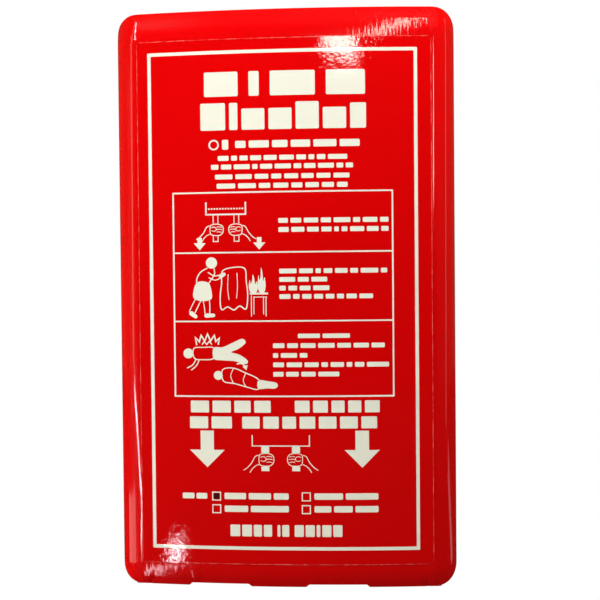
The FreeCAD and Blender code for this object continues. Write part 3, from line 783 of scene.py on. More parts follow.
def conform(name, shapes, lift, thick, material, step):
    """Shapes (outline, holes) laid on the crowned front as a thin closed layer."""
    bm = bmesh.new()
    for outer, holes in shapes:
        flat = flat_shape(outer, holes, step)
        copies = {v: bm.verts.new(v.co) for v in flat.verts}
        for face in flat.faces:
            ring = [copies[v] for v in face.verts]
            normal = Vector((0, 0, 0))
            for i, v in enumerate(ring):
                normal += v.co.cross(ring[(i + 1) % len(ring)].co)
            try:
                bm.faces.new(ring if normal.y < 0 else ring[::-1])
            except ValueError:  # the fill may give the same triangle twice
                pass
        flat.free()
    for v in bm.verts:
        v.co.y = float(-DEPTH + CROWN_R - math.sqrt(CROWN_R * CROWN_R - v.co.x**2)) - lift
    front = bm.faces[:]
    border = [e for e in bm.edges if len(e.link_faces) == 1]
    behind = {v: bm.verts.new((v.co.x, v.co.y + thick, v.co.z)) for v in bm.verts[:]}
    for face in front:
        bm.faces.new([behind[v] for v in face.verts][::-1])
    for edge in border:
        loop = next(l for l in edge.link_faces[0].loops if l.edge == edge)
        a, b = loop.vert, loop.link_loop_next.vert
        bm.faces.new([b, a, behind[a], behind[b]])
    for v in bm.verts:
        v.co *= MM
    return object_from_bmesh(name, bm, material, sharp=30)


# ---------------------------------------------------------------- marks of the pale print
pale_shapes = []  # (outline, holes)
print_random = np.random.RandomState(7)


def fill(outline, *holes):
    pale_shapes.append((outline, list(holes)))


def disc(cx, cz, r, steps):
    fill(circle(cx, cz, r, steps))


def bar(x0, z0, x1, z1, r):
    fill(round_rect(x0, z0, x1, z1, r, 4))


def box_line(x0, z0, x1, z1, width, r=0.3):
    """A rectangular frame drawn as a line."""
    w = width / 2
    outer = round_rect(x0 - w, z0 - w, x1 + w, z1 + w, r, 3)
    fill(outer, round_rect(x0 + w, z0 + w, x1 - w, z1 - w, r * 0.5, 3))


def sharp_line(points, width=0.5):
    left, right = stroke_sides(points, width)
    fill(left + right[::-1])


def line(points, width=0.5):
    sharp_line(open_curve(points), width)


def ring(points, width=0.5):
    """A closed curved line."""
    points = closed_curve(points, 4)
    if area(points) < 0:
        points = points[::-1]
    inner, outer = stroke_sides(points, width, closed=True)
    fill(outer, inner)


def solid(points):
    fill(closed_curve(points, 4))


def words(x0, x1, z0, z1, shortest=2.2, longest=8.5, gap=1.25, r=0.45):
    """A line of plain rounded dashes in place of small print."""
    x = x0
    height = z1 - z0
    while x < x1 - 0.8:
        width = float(print_random.uniform(shortest, longest))
        if x1 - (x + width) < shortest + gap:
            width = x1 - x
        bar(x, z0 + 0.16 * height, x + width, z1 - 0.12 * height, r)
        x += width + gap


def blocks(x0, x1, z0, z1, widths, gap, r=0.5, heights=None):
    """A row of plain blocks in place of large letters; heights are parts of the full height."""
    scale = (x1 - x0 - gap * (len(widths) - 1)) / sum(widths)
    x = x0
    for width, part in zip(widths, heights or [1] * len(widths)):
        bar(x, z0, x + width * scale, z0 + (z1 - z0) * part, r)
        x += width * scale + gap


def arrow(cx, top, neck, tip, shaft, head):
    """An arrow that points down; shaft and head are widths."""
    s, h = shaft / 2, head / 2
    fill([
        (cx - s, top), (cx - s, neck), (cx - h, neck), (cx, tip),
        (cx + h, neck), (cx + s, neck), (cx + s, top),
    ])


# outline of a flame with two tongues, in parts of its width and height
FLAME = [
    (0, 0), (0.34, 0.03), (0.5, 0.3), (0.36, 0.62), (0.2, 0.46), (0.1, 0.8), (-0.06, 1.0),
    (-0.12, 0.66), (-0.3, 0.5), (-0.38, 0.7), (-0.5, 0.34), (-0.34, 0.04),
]


def flame(cx, z0, width, height):
    fill(closed_curve([(cx + x * width, z0 + z * height) for x, z in FLAME], 5))


# a fist closed round a tape, about its centre; the wrist leaves to the left
FIST_OUTLINE = [
    (-2.6, 1.6), (-1.2, 2.5), (1.1, 2.6), (3.0, 1.9), (3.7, 0.4), (3.3, -1.6), (1.8, -2.7),
    (-0.8, -2.7), (-2.5, -1.9),
]
FINGERS_AND_THUMB = [
    [(0.5, 1.25), (1.9, 1.35), (3.0, 1.1)],
    [(0.3, 0.1), (1.8, 0.2), (3.2, 0.0)],
    [(0.5, -1.1), (1.7, -1.0), (2.9, -1.3)],
    [(-2.1, 0.9), (-0.9, 1.3), (0.2, 0.7), (0.1, -0.4), (-1.0, -0.7), (-2.0, -0.4)],
]
WRIST = [
    [(-2.9, 1.9), (-4.4, 1.2), (-5.7, -1.2), (-7.6, -3.4), (-9.4, -4.6)],
    [(-2.8, -2.1), (-4.2, -2.7), (-5.6, -4.0), (-6.6, -5.6)],
]


def fist(cx, cz, scale, facing, width=0.42):
    """facing is 1 for a wrist on the left, -1 for one on the right."""

    def place(points):
        return [(cx + facing * x * scale, cz + z * scale) for x, z in points]

    ring(place(FIST_OUTLINE), width)
    for points in FINGERS_AND_THUMB:
        line(place(points), width * 0.8)
    for points in WRIST:
        line(place(points), width)


# ---------------------------------------------------------------- label layout
# rows of large blocks: x0, x1, z0, z1, widths, gap, radius, heights
TITLE_ROWS = [
    (-37.3, 39.0, 96.4, 108.0, [34.2, 10.4, 45.1, 38.9], 5.2, 0.7),
    (-39.2, 39.4, 80.5, 93.3, [24, 8, 22, 22, 22, 22, 15], 1.9, 0.7,
     [1, 1, 0.78, 0.78, 1, 0.78, 0.93]),
]
BOLD_ROWS = [  # under the panels
    (-45.4, -6.9, -53.9, -48.2, [9, 9, 8, 8], 1.7),
    (4.6, 44.8, -53.9, -48.2, [9, 9, 8, 8, 9], 1.7),
    (-45.9, -25.6, -61.5, -55.8, [9, 10], 1.7),
    (-20.6, 43.5, -61.5, -55.8, [9, 8, 7, 8, 9, 9, 8], 1.7),
]
FOOT_ROW = [
    (-26.8, -6.8, -113.2, -107.6, [6, 6, 5, 5], 0.9),
    (-4.2, 1.4, -113.2, -107.6, [2, 5], 0.9),
    (4.0, 26.7, -113.2, -107.6, [5, 5, 2, 5, 5], 0.9),
]
# lines of small print: x0, x1, z0, z1, shortest and longest dash, gap, radius
TITLE_LINES = [
    (-22.6, 36.3, 71.2, 75.9, 4.5, 11.0, 1.5, 0.6),
    (-31.0, 30.4, 65.5, 68.7, 2.4, 8.0, 1.2),
    (-34.3, 33.1, 61.4, 64.6, 2.4, 8.0, 1.2),
    (-32.4, 31.4, 56.7, 59.9, 3.4, 10.0, 1.4, 0.5),
    (-31.7, 30.5, 52.3, 55.6, 3.4, 10.0, 1.4, 0.5),
]
PANEL_LINES = [
    (-2.4, 49.6, 35.7, 38.9),
    (-2.4, 49.6, 31.4, 34.6),
    (-2.2, 48.8, 11.8, 14.9),
    (-2.2, 20.5, 7.8, 10.9),
    (-2.2, 21.5, 3.7, 6.8),
    (-2.2, 42.0, -0.3, 2.8),
    (6.4, 31.0, -18.9, -16.0, 5.0, 12.0),
    (-5.5, 47.4, -23.6, -20.5),
    (-5.5, 10.8, -28.2, -25.2),
    (-5.5, 49.4, -32.7, -29.6),
    (-5.5, 25.8, -37.2, -34.1),
]
# down arrows: centre x, top, neck, tip, shaft width, head width
ARROWS = [
    (-37.6, -62.6, -71.8, -80.2, 6.4, 16.8),
    (36.4, -62.6, -71.8, -80.2, 6.4, 16.6),
    (-40.2, 29.6, 27.1, 23.7, 2.2, 5.8),
    (-11.6, 29.6, 27.1, 23.7, 2.2, 5.8),
]


def draw_text():
    """Frames, headings, small print and arrows."""
    box_line(-63.96, -118.9, 62.72, 117.34, 1.6)
    box_line(-52.9, -46.1, 51.5, 51.0, 0.75)
    bar(-52.9, 22.1, 51.5, 22.8, 0.1)
    bar(-52.9, -10.6, 51.5, -9.9, 0.1)
    for row in TITLE_ROWS:
        blocks(*row)
    fill(circle(-32.9, 73.6, 2.5, 36), circle(-32.9, 73.6, 1.75, 36))
    bar(-28.9, 71.3, -25.9, 75.9, 0.6)
    for row in TITLE_LINES + PANEL_LINES:
        words(*row)
    for row in BOLD_ROWS:
        blocks(*row)
    words(-49.9, -37.9, -96.0, -92.2, 5, 6, 1.0, 0.6)
    for x, text_end in ((-35.5, 36.8), (7.5, 36.4)):  # four tick boxes with their text
        for z in (-96.2, -102.3):
            box_line(x + 0.25, z + 0.25, x + 4.05, z + 4.05, 0.5, 0.2)
            words(x + 6.0, x + text_end, z + 0.1, z + 4.3, 7.0, 15.0, 1.3, 0.6)
    for row in FOOT_ROW:
        blocks(*row)
    for row in ARROWS:
        arrow(*row)


def draw_grips():
    """Panel 1: the foot of a case, two tapes and two fists; the same again above the tick boxes."""
    sharp_line([(-37.0, 46.4), (-37.0, 40.6), (-18.0, 40.6), (-18.0, 46.4)], 0.72)
    for k in range(13):
        disc(-35.6 + k * 1.35, 43.3, 0.42, 10)
    for x in (-32.4, -22.4):
        for side in (-1.15, 1.15):
            bar(x + side - 0.2, 36.3, x + side + 0.2, 40.4, 0.1)
            bar(x + side - 0.2, 27.9, x + side + 0.2, 30.6, 0.1)
        bar(x - 1.35, 27.6, x + 1.35, 28.0, 0.1)
    fist(-32.4, 33.4, scale=1.0, facing=1)
    fist(-22.4, 33.4, scale=1.0, facing=-1)
    sharp_line([(-15.9, -64.6), (-15.9, -69.8), (11.4, -69.8), (11.4, -64.6)])
    for x, facing in ((-9.7, 1), (5.0, -1)):
        bar(x - 1.9, -73.1, x + 1.9, -69.9, 0.1)
        bar(x - 1.9, -81.8, x + 1.9, -79.6, 0.1)
        fist(x, -76.3, scale=1.12, facing=facing, width=0.36)


def draw_table_fire():
    """Panel 2: a figure holds a sheet up in front of a burning table."""
    disc(-34.6, 17.6, 2.7, 32)  # head, back and body
    line([(-36.6, 15.2), (-39.8, 13.4), (-41.6, 10.6), (-41.9, 8.2)])
    line([(-33.4, 15.0), (-33.2, 12.2), (-34.9, 9.6), (-36.0, 7.9)])
    solid([
        (-41.9, 8.1), (-38.8, 8.9), (-35.8, 7.7), (-34.6, 3.4), (-35.0, 0.3), (-39.2, -0.6),
        (-43.3, 0.8), (-43.4, 4.6),
    ])
    line([(-42.6, 0.4), (-44.4, -3.0), (-45.6, -5.6)], 0.45)  # legs and feet
    line([(-40.0, -0.4), (-41.6, -3.6), (-42.9, -6.2)], 0.45)
    fill(capsule(-44.6, -6.4, -42.6, -7.9, 1.05, 0.9))
    line([(-38.8, -0.4), (-38.2, -4.0), (-38.0, -6.6)], 0.45)
    line([(-35.8, 0.0), (-35.6, -3.6), (-35.7, -6.6)], 0.45)
    fill(capsule(-37.3, -7.5, -33.9, -7.4, 1.05, 0.85))
    line([(-36.4, 13.2), (-33.2, 11.4), (-30.4, 12.0)], 0.45)  # arm and hand
    line([(-36.0, 10.6), (-32.8, 9.4), (-30.0, 10.6)], 0.45)
    fill(capsule(-30.2, 11.3, -28.7, 12.1, 1.0, 0.9))
    ring([  # sheet
        (-29.4, 13.6), (-24.0, 15.4), (-18.6, 14.8), (-18.0, 9.0), (-17.3, 2.2), (-18.2, -4.4),
        (-21.2, -3.0), (-24.0, -4.9), (-27.0, -3.4), (-30.0, -4.6), (-30.6, 1.4), (-29.8, 7.6),
    ], 0.55)
    line([(-26.6, 12.0), (-26.9, 5.6), (-26.3, 0.0)], 0.35)
    line([(-22.4, 12.8), (-22.2, 6.2), (-22.7, 0.6)], 0.35)
    flame(-14.6, 3.3, 4.4, 8.6)
    flame(-10.6, 3.3, 3.8, 11.8)
    bar(-16.4, 2.4, -7.6, 3.3, 0.2)  # table
    sharp_line([(-15.6, 2.0), (-15.6, -8.0)], 0.4)
    sharp_line([(-14.4, 1.2), (-8.2, 1.2)], 0.35)
    sharp_line([(-14.4, 1.4), (-14.4, -7.0)], 0.35)
    sharp_line([(-8.6, 1.4), (-8.6, -8.0)], 0.4)
    sharp_line([(-9.8, 1.4), (-9.8, -7.0)], 0.35)


def draw_clothes_fire():
    """Panel 3: a figure on the ground in burning clothes, and one rolled up in a blanket."""
    disc(-46.3, -25.6, 2.4, 30)  # burning figure
    ring([(-43.6, -23.2), (-38.6, -22.7), (-34.0, -23.0), (-34.0, -27.9), (-39.0, -28.6),
          (-43.4, -27.9)])
    line([(-42.6, -28.3), (-44.2, -31.0), (-47.0, -32.6)])
    line([(-41.0, -28.5), (-42.4, -31.4), (-45.0, -33.6)])
    solid([
        (-34.0, -22.9), (-29.6, -22.6), (-25.0, -20.6), (-20.2, -18.6), (-18.6, -20.6),
        (-22.4, -23.6), (-25.6, -25.0), (-21.6, -26.2), (-17.8, -28.9), (-18.6, -30.7),
        (-24.0, -29.3), (-29.6, -28.9), (-34.0, -28.1),
    ])
    sharp_line([  # flames
        (-42.2, -21.6), (-42.8, -18.0), (-40.9, -20.0), (-40.0, -16.9), (-38.3, -19.7),
        (-36.9, -16.3), (-35.5, -19.6), (-33.6, -17.0), (-32.9, -19.9), (-31.2, -18.3),
        (-31.8, -21.4),
    ], 0.75)
    sharp_line([(-39.6, -21.4), (-38.6, -19.9), (-37.3, -21.3), (-36.1, -19.8), (-34.8, -21.3)])
    disc(-31.9, -36.1, 2.15, 28)  # rolled-up figure
    ring([
        (-29.8, -33.4), (-24.6, -32.6), (-19.0, -34.8), (-12.4, -38.2), (-12.8, -42.7),
        (-18.0, -41.7), (-24.0, -40.0), (-29.4, -38.8),
    ])
    line([(-24.6, -32.8), (-25.9, -36.4), (-24.6, -39.8)], 0.38)
    line([(-18.6, -35.0), (-19.9, -38.4), (-18.8, -41.3)], 0.38)
    solid([
        (-12.2, -38.4), (-8.0, -38.9), (-4.2, -39.6), (-3.4, -41.2), (-5.0, -42.4),
        (-8.6, -42.3), (-12.4, -42.6), (-13.2, -40.4),
    ])
    line([(-22.9, -30.6), (-20.6, -30.4), (-19.0, -31.6)], 0.7)  # curved arrow
    fill([(-20.3, -31.9), (-17.7, -31.2), (-18.3, -33.6)])


def build_label():
    """The sheet, its pale print and the dark fill of one tick box."""
    half = LABEL_HIGH.x / MM
    outline = round_rect(-half, LABEL_LOW.z / MM, half, LABEL_HIGH.z / MM, 2.2, 8)
    sheet = conform(
        "label_sheet", [(outline, [])], lift=0.2, thick=0.19, material=LABEL_RED, step=1.5
    )
    draw_text()
    draw_grips()
    draw_table_fire()
    draw_clothes_fire()
    dark_shapes = [(round_rect(-34.75, -95.45, -31.95, -92.65, 0.2, 3), [])]
    layers = [sheet]
    for name, shapes, lift, material in (
        ("label_print", pale_shapes, 0.222, LABEL_PALE),
        ("label_dark_fill", dark_shapes, 0.226, LABEL_DARK),
    ):
        layers.append(conform(name, shapes, lift, thick=0.03, material=material, step=2.0))
    for layer in layers:
        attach(layer, "case")
    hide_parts("front_label")


# ---------------------------------------------------------------- cloth helpers
@cache
def wave_terms(seed):
    draw = np.random.RandomState(seed).uniform
    return [(draw(0.02, 0.09), draw(0.02, 0.11), draw(0, 6.28)) for _ in range(5)]


def wave(x, z, seed):
    """A slow smooth field for cloth that isn't quite flat."""
    return sum(math.sin(kx * x + kz * z + phase) for kx, kz, phase in wave_terms(seed)) / 5


def across(flat, flat_count, edge_count):
    """Stations from -1 to 1: even up to flat, then closer together towards the edge."""
    edge = 1 - (1 - flat) * (1 - np.linspace(0, 1, edge_count)[1:]) ** 2
    half = np.concatenate([np.linspace(0, flat, flat_count), edge])
    return np.concatenate([-half[::-1], half[1:]])


def sweep(path, section):
    """Carries section(i), as (x, offset) pairs, along (y, z) points; a run down faces the front."""
    path = np.array(path)
    tangent = np.gradient(path, axis=0)
    tangent /= np.linalg.norm(tangent, axis=1)[:, None]
    normal = np.stack([tangent[:, 1], -tangent[:, 0]], -1)
    verts, faces = [], []
    for i, (p, n) in enumerate(zip(path, normal)):
        outline = section(i)
        verts += [(x, p[0] + n[0] * o, p[1] + n[1] * o) for x, o in outline]
    size = len(outline)
    for i in range(len(path) - 1):
        for k in range(size):
            a, b = i * size + k, i * size + (k + 1) % size
            faces.append([a, b, b + size, a + size])
    faces.append(list(range(size))[::-1])
    faces.append([(len(path) - 1) * size + k for k in range(size)])
    return verts, faces


# ---------------------------------------------------------------- folded blanket
LAYERS = 8
LAYER_THICK = 2.5
PLY = LAYER_THICK / 4  # half the thickness of one of a layer's two plies
FOLD_FRONT_Y, FOLD_BACK_Y = -25.95, -4.3
FOLD_LOW_Z, FOLD_TOP_Z = -135.0, 115.0


def serpentine(random):
    """Points (y, z, layer) of the folded cloth, from its front layer to its back one."""
    pitch = (FOLD_BACK_Y - FOLD_FRONT_Y - LAYER_THICK) / (LAYERS - 1)
    r = pitch / 2
    path = []
    # how far each fold stops short of the bottom and of the top
    short = [
        (float(random.uniform(0.0, 2.6)), float(random.uniform(0.0, 2.6))) for _ in range(LAYERS)
    ]
    for layer in range(LAYERS):
        y = FOLD_FRONT_Y + LAYER_THICK / 2 + layer * pitch
        down = layer % 2 == 0
        top = FOLD_TOP_Z - r - LAYER_THICK / 2 - short[(layer + 1) // 2][1]
        bottom = FOLD_LOW_Z + r + LAYER_THICK / 2 + short[layer // 2][0]
        heights = np.linspace(top, bottom, 84)
        if not down:
            heights = heights[::-1]
        for z in heights[(1 if layer else 0):]:
            path.append((y, float(z), layer))
        if layer < LAYERS - 1:
            z = float(heights[-1])
            sign = -1 if down else 1
            for a in np.linspace(0, math.pi, 11)[1:-1]:
                point = (y + r - r * math.cos(a), z + sign * r * math.sin(a), layer + 0.5)
                path.append(point)
            path.append((y + pitch, z, layer + 1))
    return path


def ply_edge(sign, half_width, z, layer):
    """One side of a layer, front to back: two plies of cloth with a crease between them."""
    out = []
    for ply in (0, 1):
        centre = LAYER_THICK / 2 - PLY - ply * 2 * PLY
        short = 0.0 if (layer + ply) % 2 else 0.55
        reach = half_width - short + 0.22 * wave(31.0 * sign, z, 40 + 2 * layer + ply)
        for a in np.radians(np.linspace(84, -84, 9)):
            out.append((sign * (reach - PLY + PLY * math.cos(a)), centre + PLY * math.sin(a)))
    return out


def build_blanket():
    random = np.random.RandomState(21)
    path = serpentine(random)
    stations = across(0.86, flat_count=18, edge_count=12)
    width_change = [float(random.uniform(-0.6, 0.3)) for _ in range(LAYERS + 1)]

    def section(i):
        _, z, at = path[i]
        layer = int(math.floor(at))
        t = at - layer
        change = width_change[layer] * (1 - t) + width_change[min(layer + 1, LAYERS - 1)] * t
        half_width = BLANKET_HALF_WIDTH - 0.75 + change

        def face(sign):
            row = []
            for q in stations:
                x = q * (half_width - PLY - 0.6)
                fade = 1 - abs(q) ** 30
                offset = LAYER_THICK / 2
                if sign > 0 and at < 0.4:  # the outer face: its turned hem and slow hollows
                    offset += 0.20 / (1 + math.exp(-(abs(x) - 61.8) * 4)) * fade
                    hollow = 0.50 * (0.5 + 0.5 * wave(x, z, 77))
                    offset -= hollow / (1 + math.exp((abs(x) - 57) * 0.7))
                else:
                    offset -= 0.16 * (0.5 + 0.5 * wave(x, z, 100 + layer)) * fade
                row.append((x, sign * offset))
            return row

        right = ply_edge(1, half_width, z, layer)
        left = ply_edge(-1, half_width, z, layer)
        return face(1) + right + face(-1)[::-1] + left[::-1]

    verts, faces = sweep([point[:2] for point in path], section)
    blanket = object_from_lists("folded_glass_cloth", verts, faces, GLASS_CLOTH, sharp=60)
    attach(blanket, "blanket")
    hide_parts("folded_blanket")


# ---------------------------------------------------------------- pull tapes
TAPE_THICK = 1.2


def build_tape(side, cx):
    """A loop of webbing: down in front, round the foot and up behind."""
    node = f"{side}_pull_tape"
    low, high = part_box(node)
    back = high.y / MM - TAPE_THICK / 2
    front = low.y / MM + TAPE_THICK / 2
    r = (high.y / MM - low.y / MM - TAPE_THICK) / 2
    turn_y, turn_z = (back + front) / 2, low.z / MM + r + TAPE_THICK / 2
    heights = np.linspace(high.z / MM, turn_z, 120)
    path = [(front, float(z)) for z in heights]
    for a in np.linspace(0, math.pi, 15)[1:-1]:
        path.append((turn_y - r * math.cos(a), turn_z - r * math.sin(a)))
    path += [(back, float(z)) for z in heights[::-1]]
    half_width = (high.x - low.x) / MM / 2
    stations = across(0.9, flat_count=12, edge_count=8)
    seed = 300 if cx < 0 else 301

    def section(i):
        z = path[i][1]
        out = []
        for sign, row in ((1, stations), (-1, stations[::-1][1:-1])):
            for u in row:
                reach = half_width - 0.12 + 0.1 * float(wave(30 * np.sign(u), z, seed))
                offset = (TAPE_THICK / 2 - 0.04) * (1 - abs(u) ** 18) ** 0.5
                # a groove just inside each selvedge
                offset -= 0.05 * math.exp(-(((abs(u) - 0.93) / 0.02) ** 2))
                out.append((cx + u * reach, sign * offset))
        return out

    tape = object_from_lists(f"{side}_tape_webbing", *sweep(path, section), WEBBING, sharp=60)
    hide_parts(node)
    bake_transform(tape)


# ---------------------------------------------------------------- sewing thread
THREAD_R = 0.3


def add_stitch(verts, faces, start, end, y, dip):
    """A two-ply thread from start to end (x, z) that rises from the cloth, runs and dips in."""
    run = end - start
    along = run / np.linalg.norm(run)
    side = np.array([-along[1], along[0]])
    base = len(verts)
    rings, sides = 9, 8
    for i in range(rings):
        t = i / (rings - 1)
        centre = start + run * t
        arch = math.sin(math.pi * t) ** 0.45
        ring_y = y + dip * (1 - arch)
        for k in range(sides):
            angle = 2 * math.pi * k / sides
            twist = 1 + 0.16 * math.cos(2 * (angle - 2.4 * math.pi * t))
            r = THREAD_R * twist * (0.55 + 0.45 * arch)
            x, z = centre + side * r * math.cos(angle)
            verts.append((x, ring_y + r * math.sin(angle), z))
    for i in range(rings - 1):
        for k in range(sides):
            a, b = base + i * sides + k, base + i * sides + (k + 1) % sides
            faces.append([a, b, b + sides, a + sides])
    faces.append([base + k for k in range(sides)][::-1])
    faces.append([base + (rings - 1) * sides + k for k in range(sides)])


def build_seams(name, node, lines, pitch, length, y, dip):
    """Rows of stitches along lines, each a pair of (x, z) points."""
    verts, faces = [], []
    for (x0, z0), (x1, z1) in lines:
        run = math.hypot(x1 - x0, z1 - z0)
        start = np.array((x0, z0), float)
        along = np.array(((x1 - x0) / run, (z1 - z0) / run))
        count = max(1, int(run // pitch))
        gap = (run - count * length) / count
        for k in range(count):
            s = gap / 2 + k * (length + gap)
            add_stitch(verts, faces, start + along * s, start + along * (s + length), y, dip)
    seams = object_from_lists(name, verts, faces, THREAD, sharp=80)
    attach(seams, "blanket")
    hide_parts(node)


def build_tape_thread(side):
    """A stitched box with a broken cross in it."""
    node = f"{side}_tape_stitching"
    low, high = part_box(node)
    cx = (low.x + high.x) / 2 / MM
    half = (high.x - low.x) / 2 / MM - THREAD_R
    top, bottom = high.z / MM - THREAD_R, low.z / MM + THREAD_R
    middle = (bottom + top) / 2
    inset = 1.6  # the rows stop short of the corners
    left, right = cx - half, cx + half
    lines = (
        ((left + inset, top), (right - inset, top)),
        ((left + inset, bottom), (right - inset, bottom)),
        ((left, bottom + inset), (left, top - inset)),
        ((right, bottom + inset), (right, top - inset)),
        ((left + inset, bottom + inset), (cx - 1, middle - 1.2)),
        ((cx + 1, middle + 1.2), (right - inset, top - inset)),
        ((left + inset, top - inset), (cx - 1, middle + 1.2)),
        ((cx + 1, middle - 1.2), (right - inset, bottom + inset)),
    )
    y = (low.y + high.y) / 2 / MM + 0.1
    build_seams(f"{side}_tape_thread", node, lines, pitch=3.9, length=2.9, y=y, dip=0.34)


def build_hem_thread():
    """One upright row near each side of the blanket."""
    low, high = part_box("hem_stitching")
    x = high.x / MM - THREAD_R
    z0, z1 = low.z / MM - 0.9, high.z / MM + 0.9
    lines = [((sign * x, z0), (sign * x, z1)) for sign in (-1, 1)]
    y = (low.y + high.y) / 2 / MM + 0.12
    build_seams("hem_thread", "hem_stitching", lines, pitch=6.0, length=4.4, y=y, dip=0.4)


# ---------------------------------------------------------------- floor and world
def by_ray(tree, path, ray, others, this):
    """A shader that is this for one kind of ray and others for the rest."""
    inputs = {0: path.outputs[ray], 1: others.outputs[0], 2: this.outputs[0]}
    return add_node(tree, "ShaderNodeMixShader", inputs)


def floor_material():
    """Pale matt floor, plain white to the camera and dim and warm in reflections."""
    material = bpy.data.materials.new("pale_floor")
    material.use_nodes = True
    tree = material.node_tree
    tree.nodes.clear()
    output = add_node(tree, "ShaderNodeOutputMaterial")
    matt = add_node(tree, "ShaderNodeBsdfDiffuse", {0: (0.8, 0.8, 0.8)})
    white = add_node(tree, "ShaderNodeEmission", {0: (1, 1, 1)})
    path = add_node(tree, "ShaderNodeLightPath")
    dim = add_node(tree, "ShaderNodeEmission", {"Color": (1, 0.7, 0.5), "Strength": 0.03})
    surface = by_ray(tree, path, "Is Glossy Ray", matt, dim)
    surface = by_ray(tree, path, "Is Camera Ray", surface, white)
    tree.links.new(surface.outputs[0], output.inputs[0])
    return material


def build_floor():
    bm = bmesh.new()
    bmesh.ops.create_grid(bm, x_segments=8, y_segments=8, size=6.0)
    mesh = bpy.data.meshes.new("floor")
    bm.to_mesh(mesh)
    bm.free()
    mesh.materials.append(floor_material())
    floor = link_object("floor", mesh)
    floor.location = (0, 0, -0.75)


def build_world():
    """White to the camera, a faint ambient light, and a warm room in reflections."""
    world = bpy.data.worlds.new("studio")
    bpy.context.scene.world = world
    world.use_nodes = True
    tree = world.node_tree
    tree.nodes.clear()
    output = add_node(tree, "ShaderNodeOutputWorld")
    white, ambient, room = (
        add_node(tree, "ShaderNodeBackground", {"Color": colour, "Strength": strength})
        for colour, strength in (((1, 1, 1), 1.0), ((1, 0.98, 0.96), 0.045), ((1, 0.62, 0.36), 0.0))
    )
    ray = add_node(tree, "ShaderNodeTexCoord").outputs["Generated"]
    ray_y = add_node(tree, "ShaderNodeSeparateXYZ", {0: ray}).outputs[1]
    # the room brightens from behind the camera (ray y of -1) to behind the object (+1)
    inputs = {0: ray_y, 1: -0.95, 2: 0.5, 3: 0.0015, 4: 0.11}  # value, from range, to range
    glow = add_node(tree, "ShaderNodeMapRange", inputs, interpolation_type="SMOOTHSTEP")
    tree.links.new(glow.outputs[0], room.inputs[1])
    path = add_node(tree, "ShaderNodeLightPath")
    surface = by_ray(tree, path, "Is Glossy Ray", ambient, room)
    surface = by_ray(tree, path, "Is Camera Ray", surface, white)
    tree.links.new(surface.outputs[0], output.inputs[0])


# ---------------------------------------------------------------- lights
def toward(azimuth, elevation, distance):
    """A point in front of the origin; azimuth in degrees grows towards +X, distance in metres."""
    a, e = math.radians(azimuth), math.radians(elevation)
    return (
        distance * math.sin(a) * math.cos(e),
        -distance * math.cos(a) * math.cos(e),
        distance * math.sin(e),
    )


def pose(origin, x, y, z):
    """The matrix of an object at origin with the given axes."""
    return Matrix.Translation(origin) @ Matrix((x, y, z)).transposed().to_4x4()


def area_light(name, width, height, energy):
    light = bpy.data.lights.new(name, "AREA")
    light.shape = "RECTANGLE"
    light.size, light.size_y = width, height
    light.energy = energy
    obj = link_object(name, light)
    obj.visible_camera = False
    return obj


# Soft light, bright at the top and darker at the foot; it never shows in reflections.
# name, place, aim, (width, height) in metres, watts, spread in degrees
ORIGIN = (0, 0, 0)
SOFTBOXES = [
    ("top_near", toward(0, 62, 0.55), (0, -0.03, 0.1), (0.5, 0.3), 1.0, 180),
    ("top_right_near", toward(45, 50, 0.55), (0.05, -0.03, 0.1), (0.3, 0.3), 3.04, 180),
    ("top_left_near", toward(-40, 50, 0.45), (-0.065, -0.03, 0.125), (0.12, 0.12), 0.03, 40),
    ("left_low", toward(-50, -35, 1.0), ORIGIN, (0.5, 0.5), 0.5, 180),
    ("right_far", toward(60, 5, 1.5), ORIGIN, (0.8, 1.0), 3.01, 180),
    ("front_fill", toward(0, 10, 1.5), ORIGIN, (1.2, 1.2), 0.8, 180),
    ("left_near", toward(-70, -5, 0.5), (-0.06, -0.03, -0.03), (0.2, 0.5), 2.61, 180),
    ("low_front", (0.25, -0.9, -0.62), (0, -0.02, -0.47), (0.3, 0.3), 0.13, 26),
    ("back_left", toward(-140, 25, 1.4), ORIGIN, (0.9, 0.9), 12, 180),
    ("back_right", toward(150, 10, 1.4), ORIGIN, (0.9, 0.9), 9, 180),
    ("under", toward(20, -75, 1.0), ORIGIN, (0.8, 0.8), 1.2, 180),
]
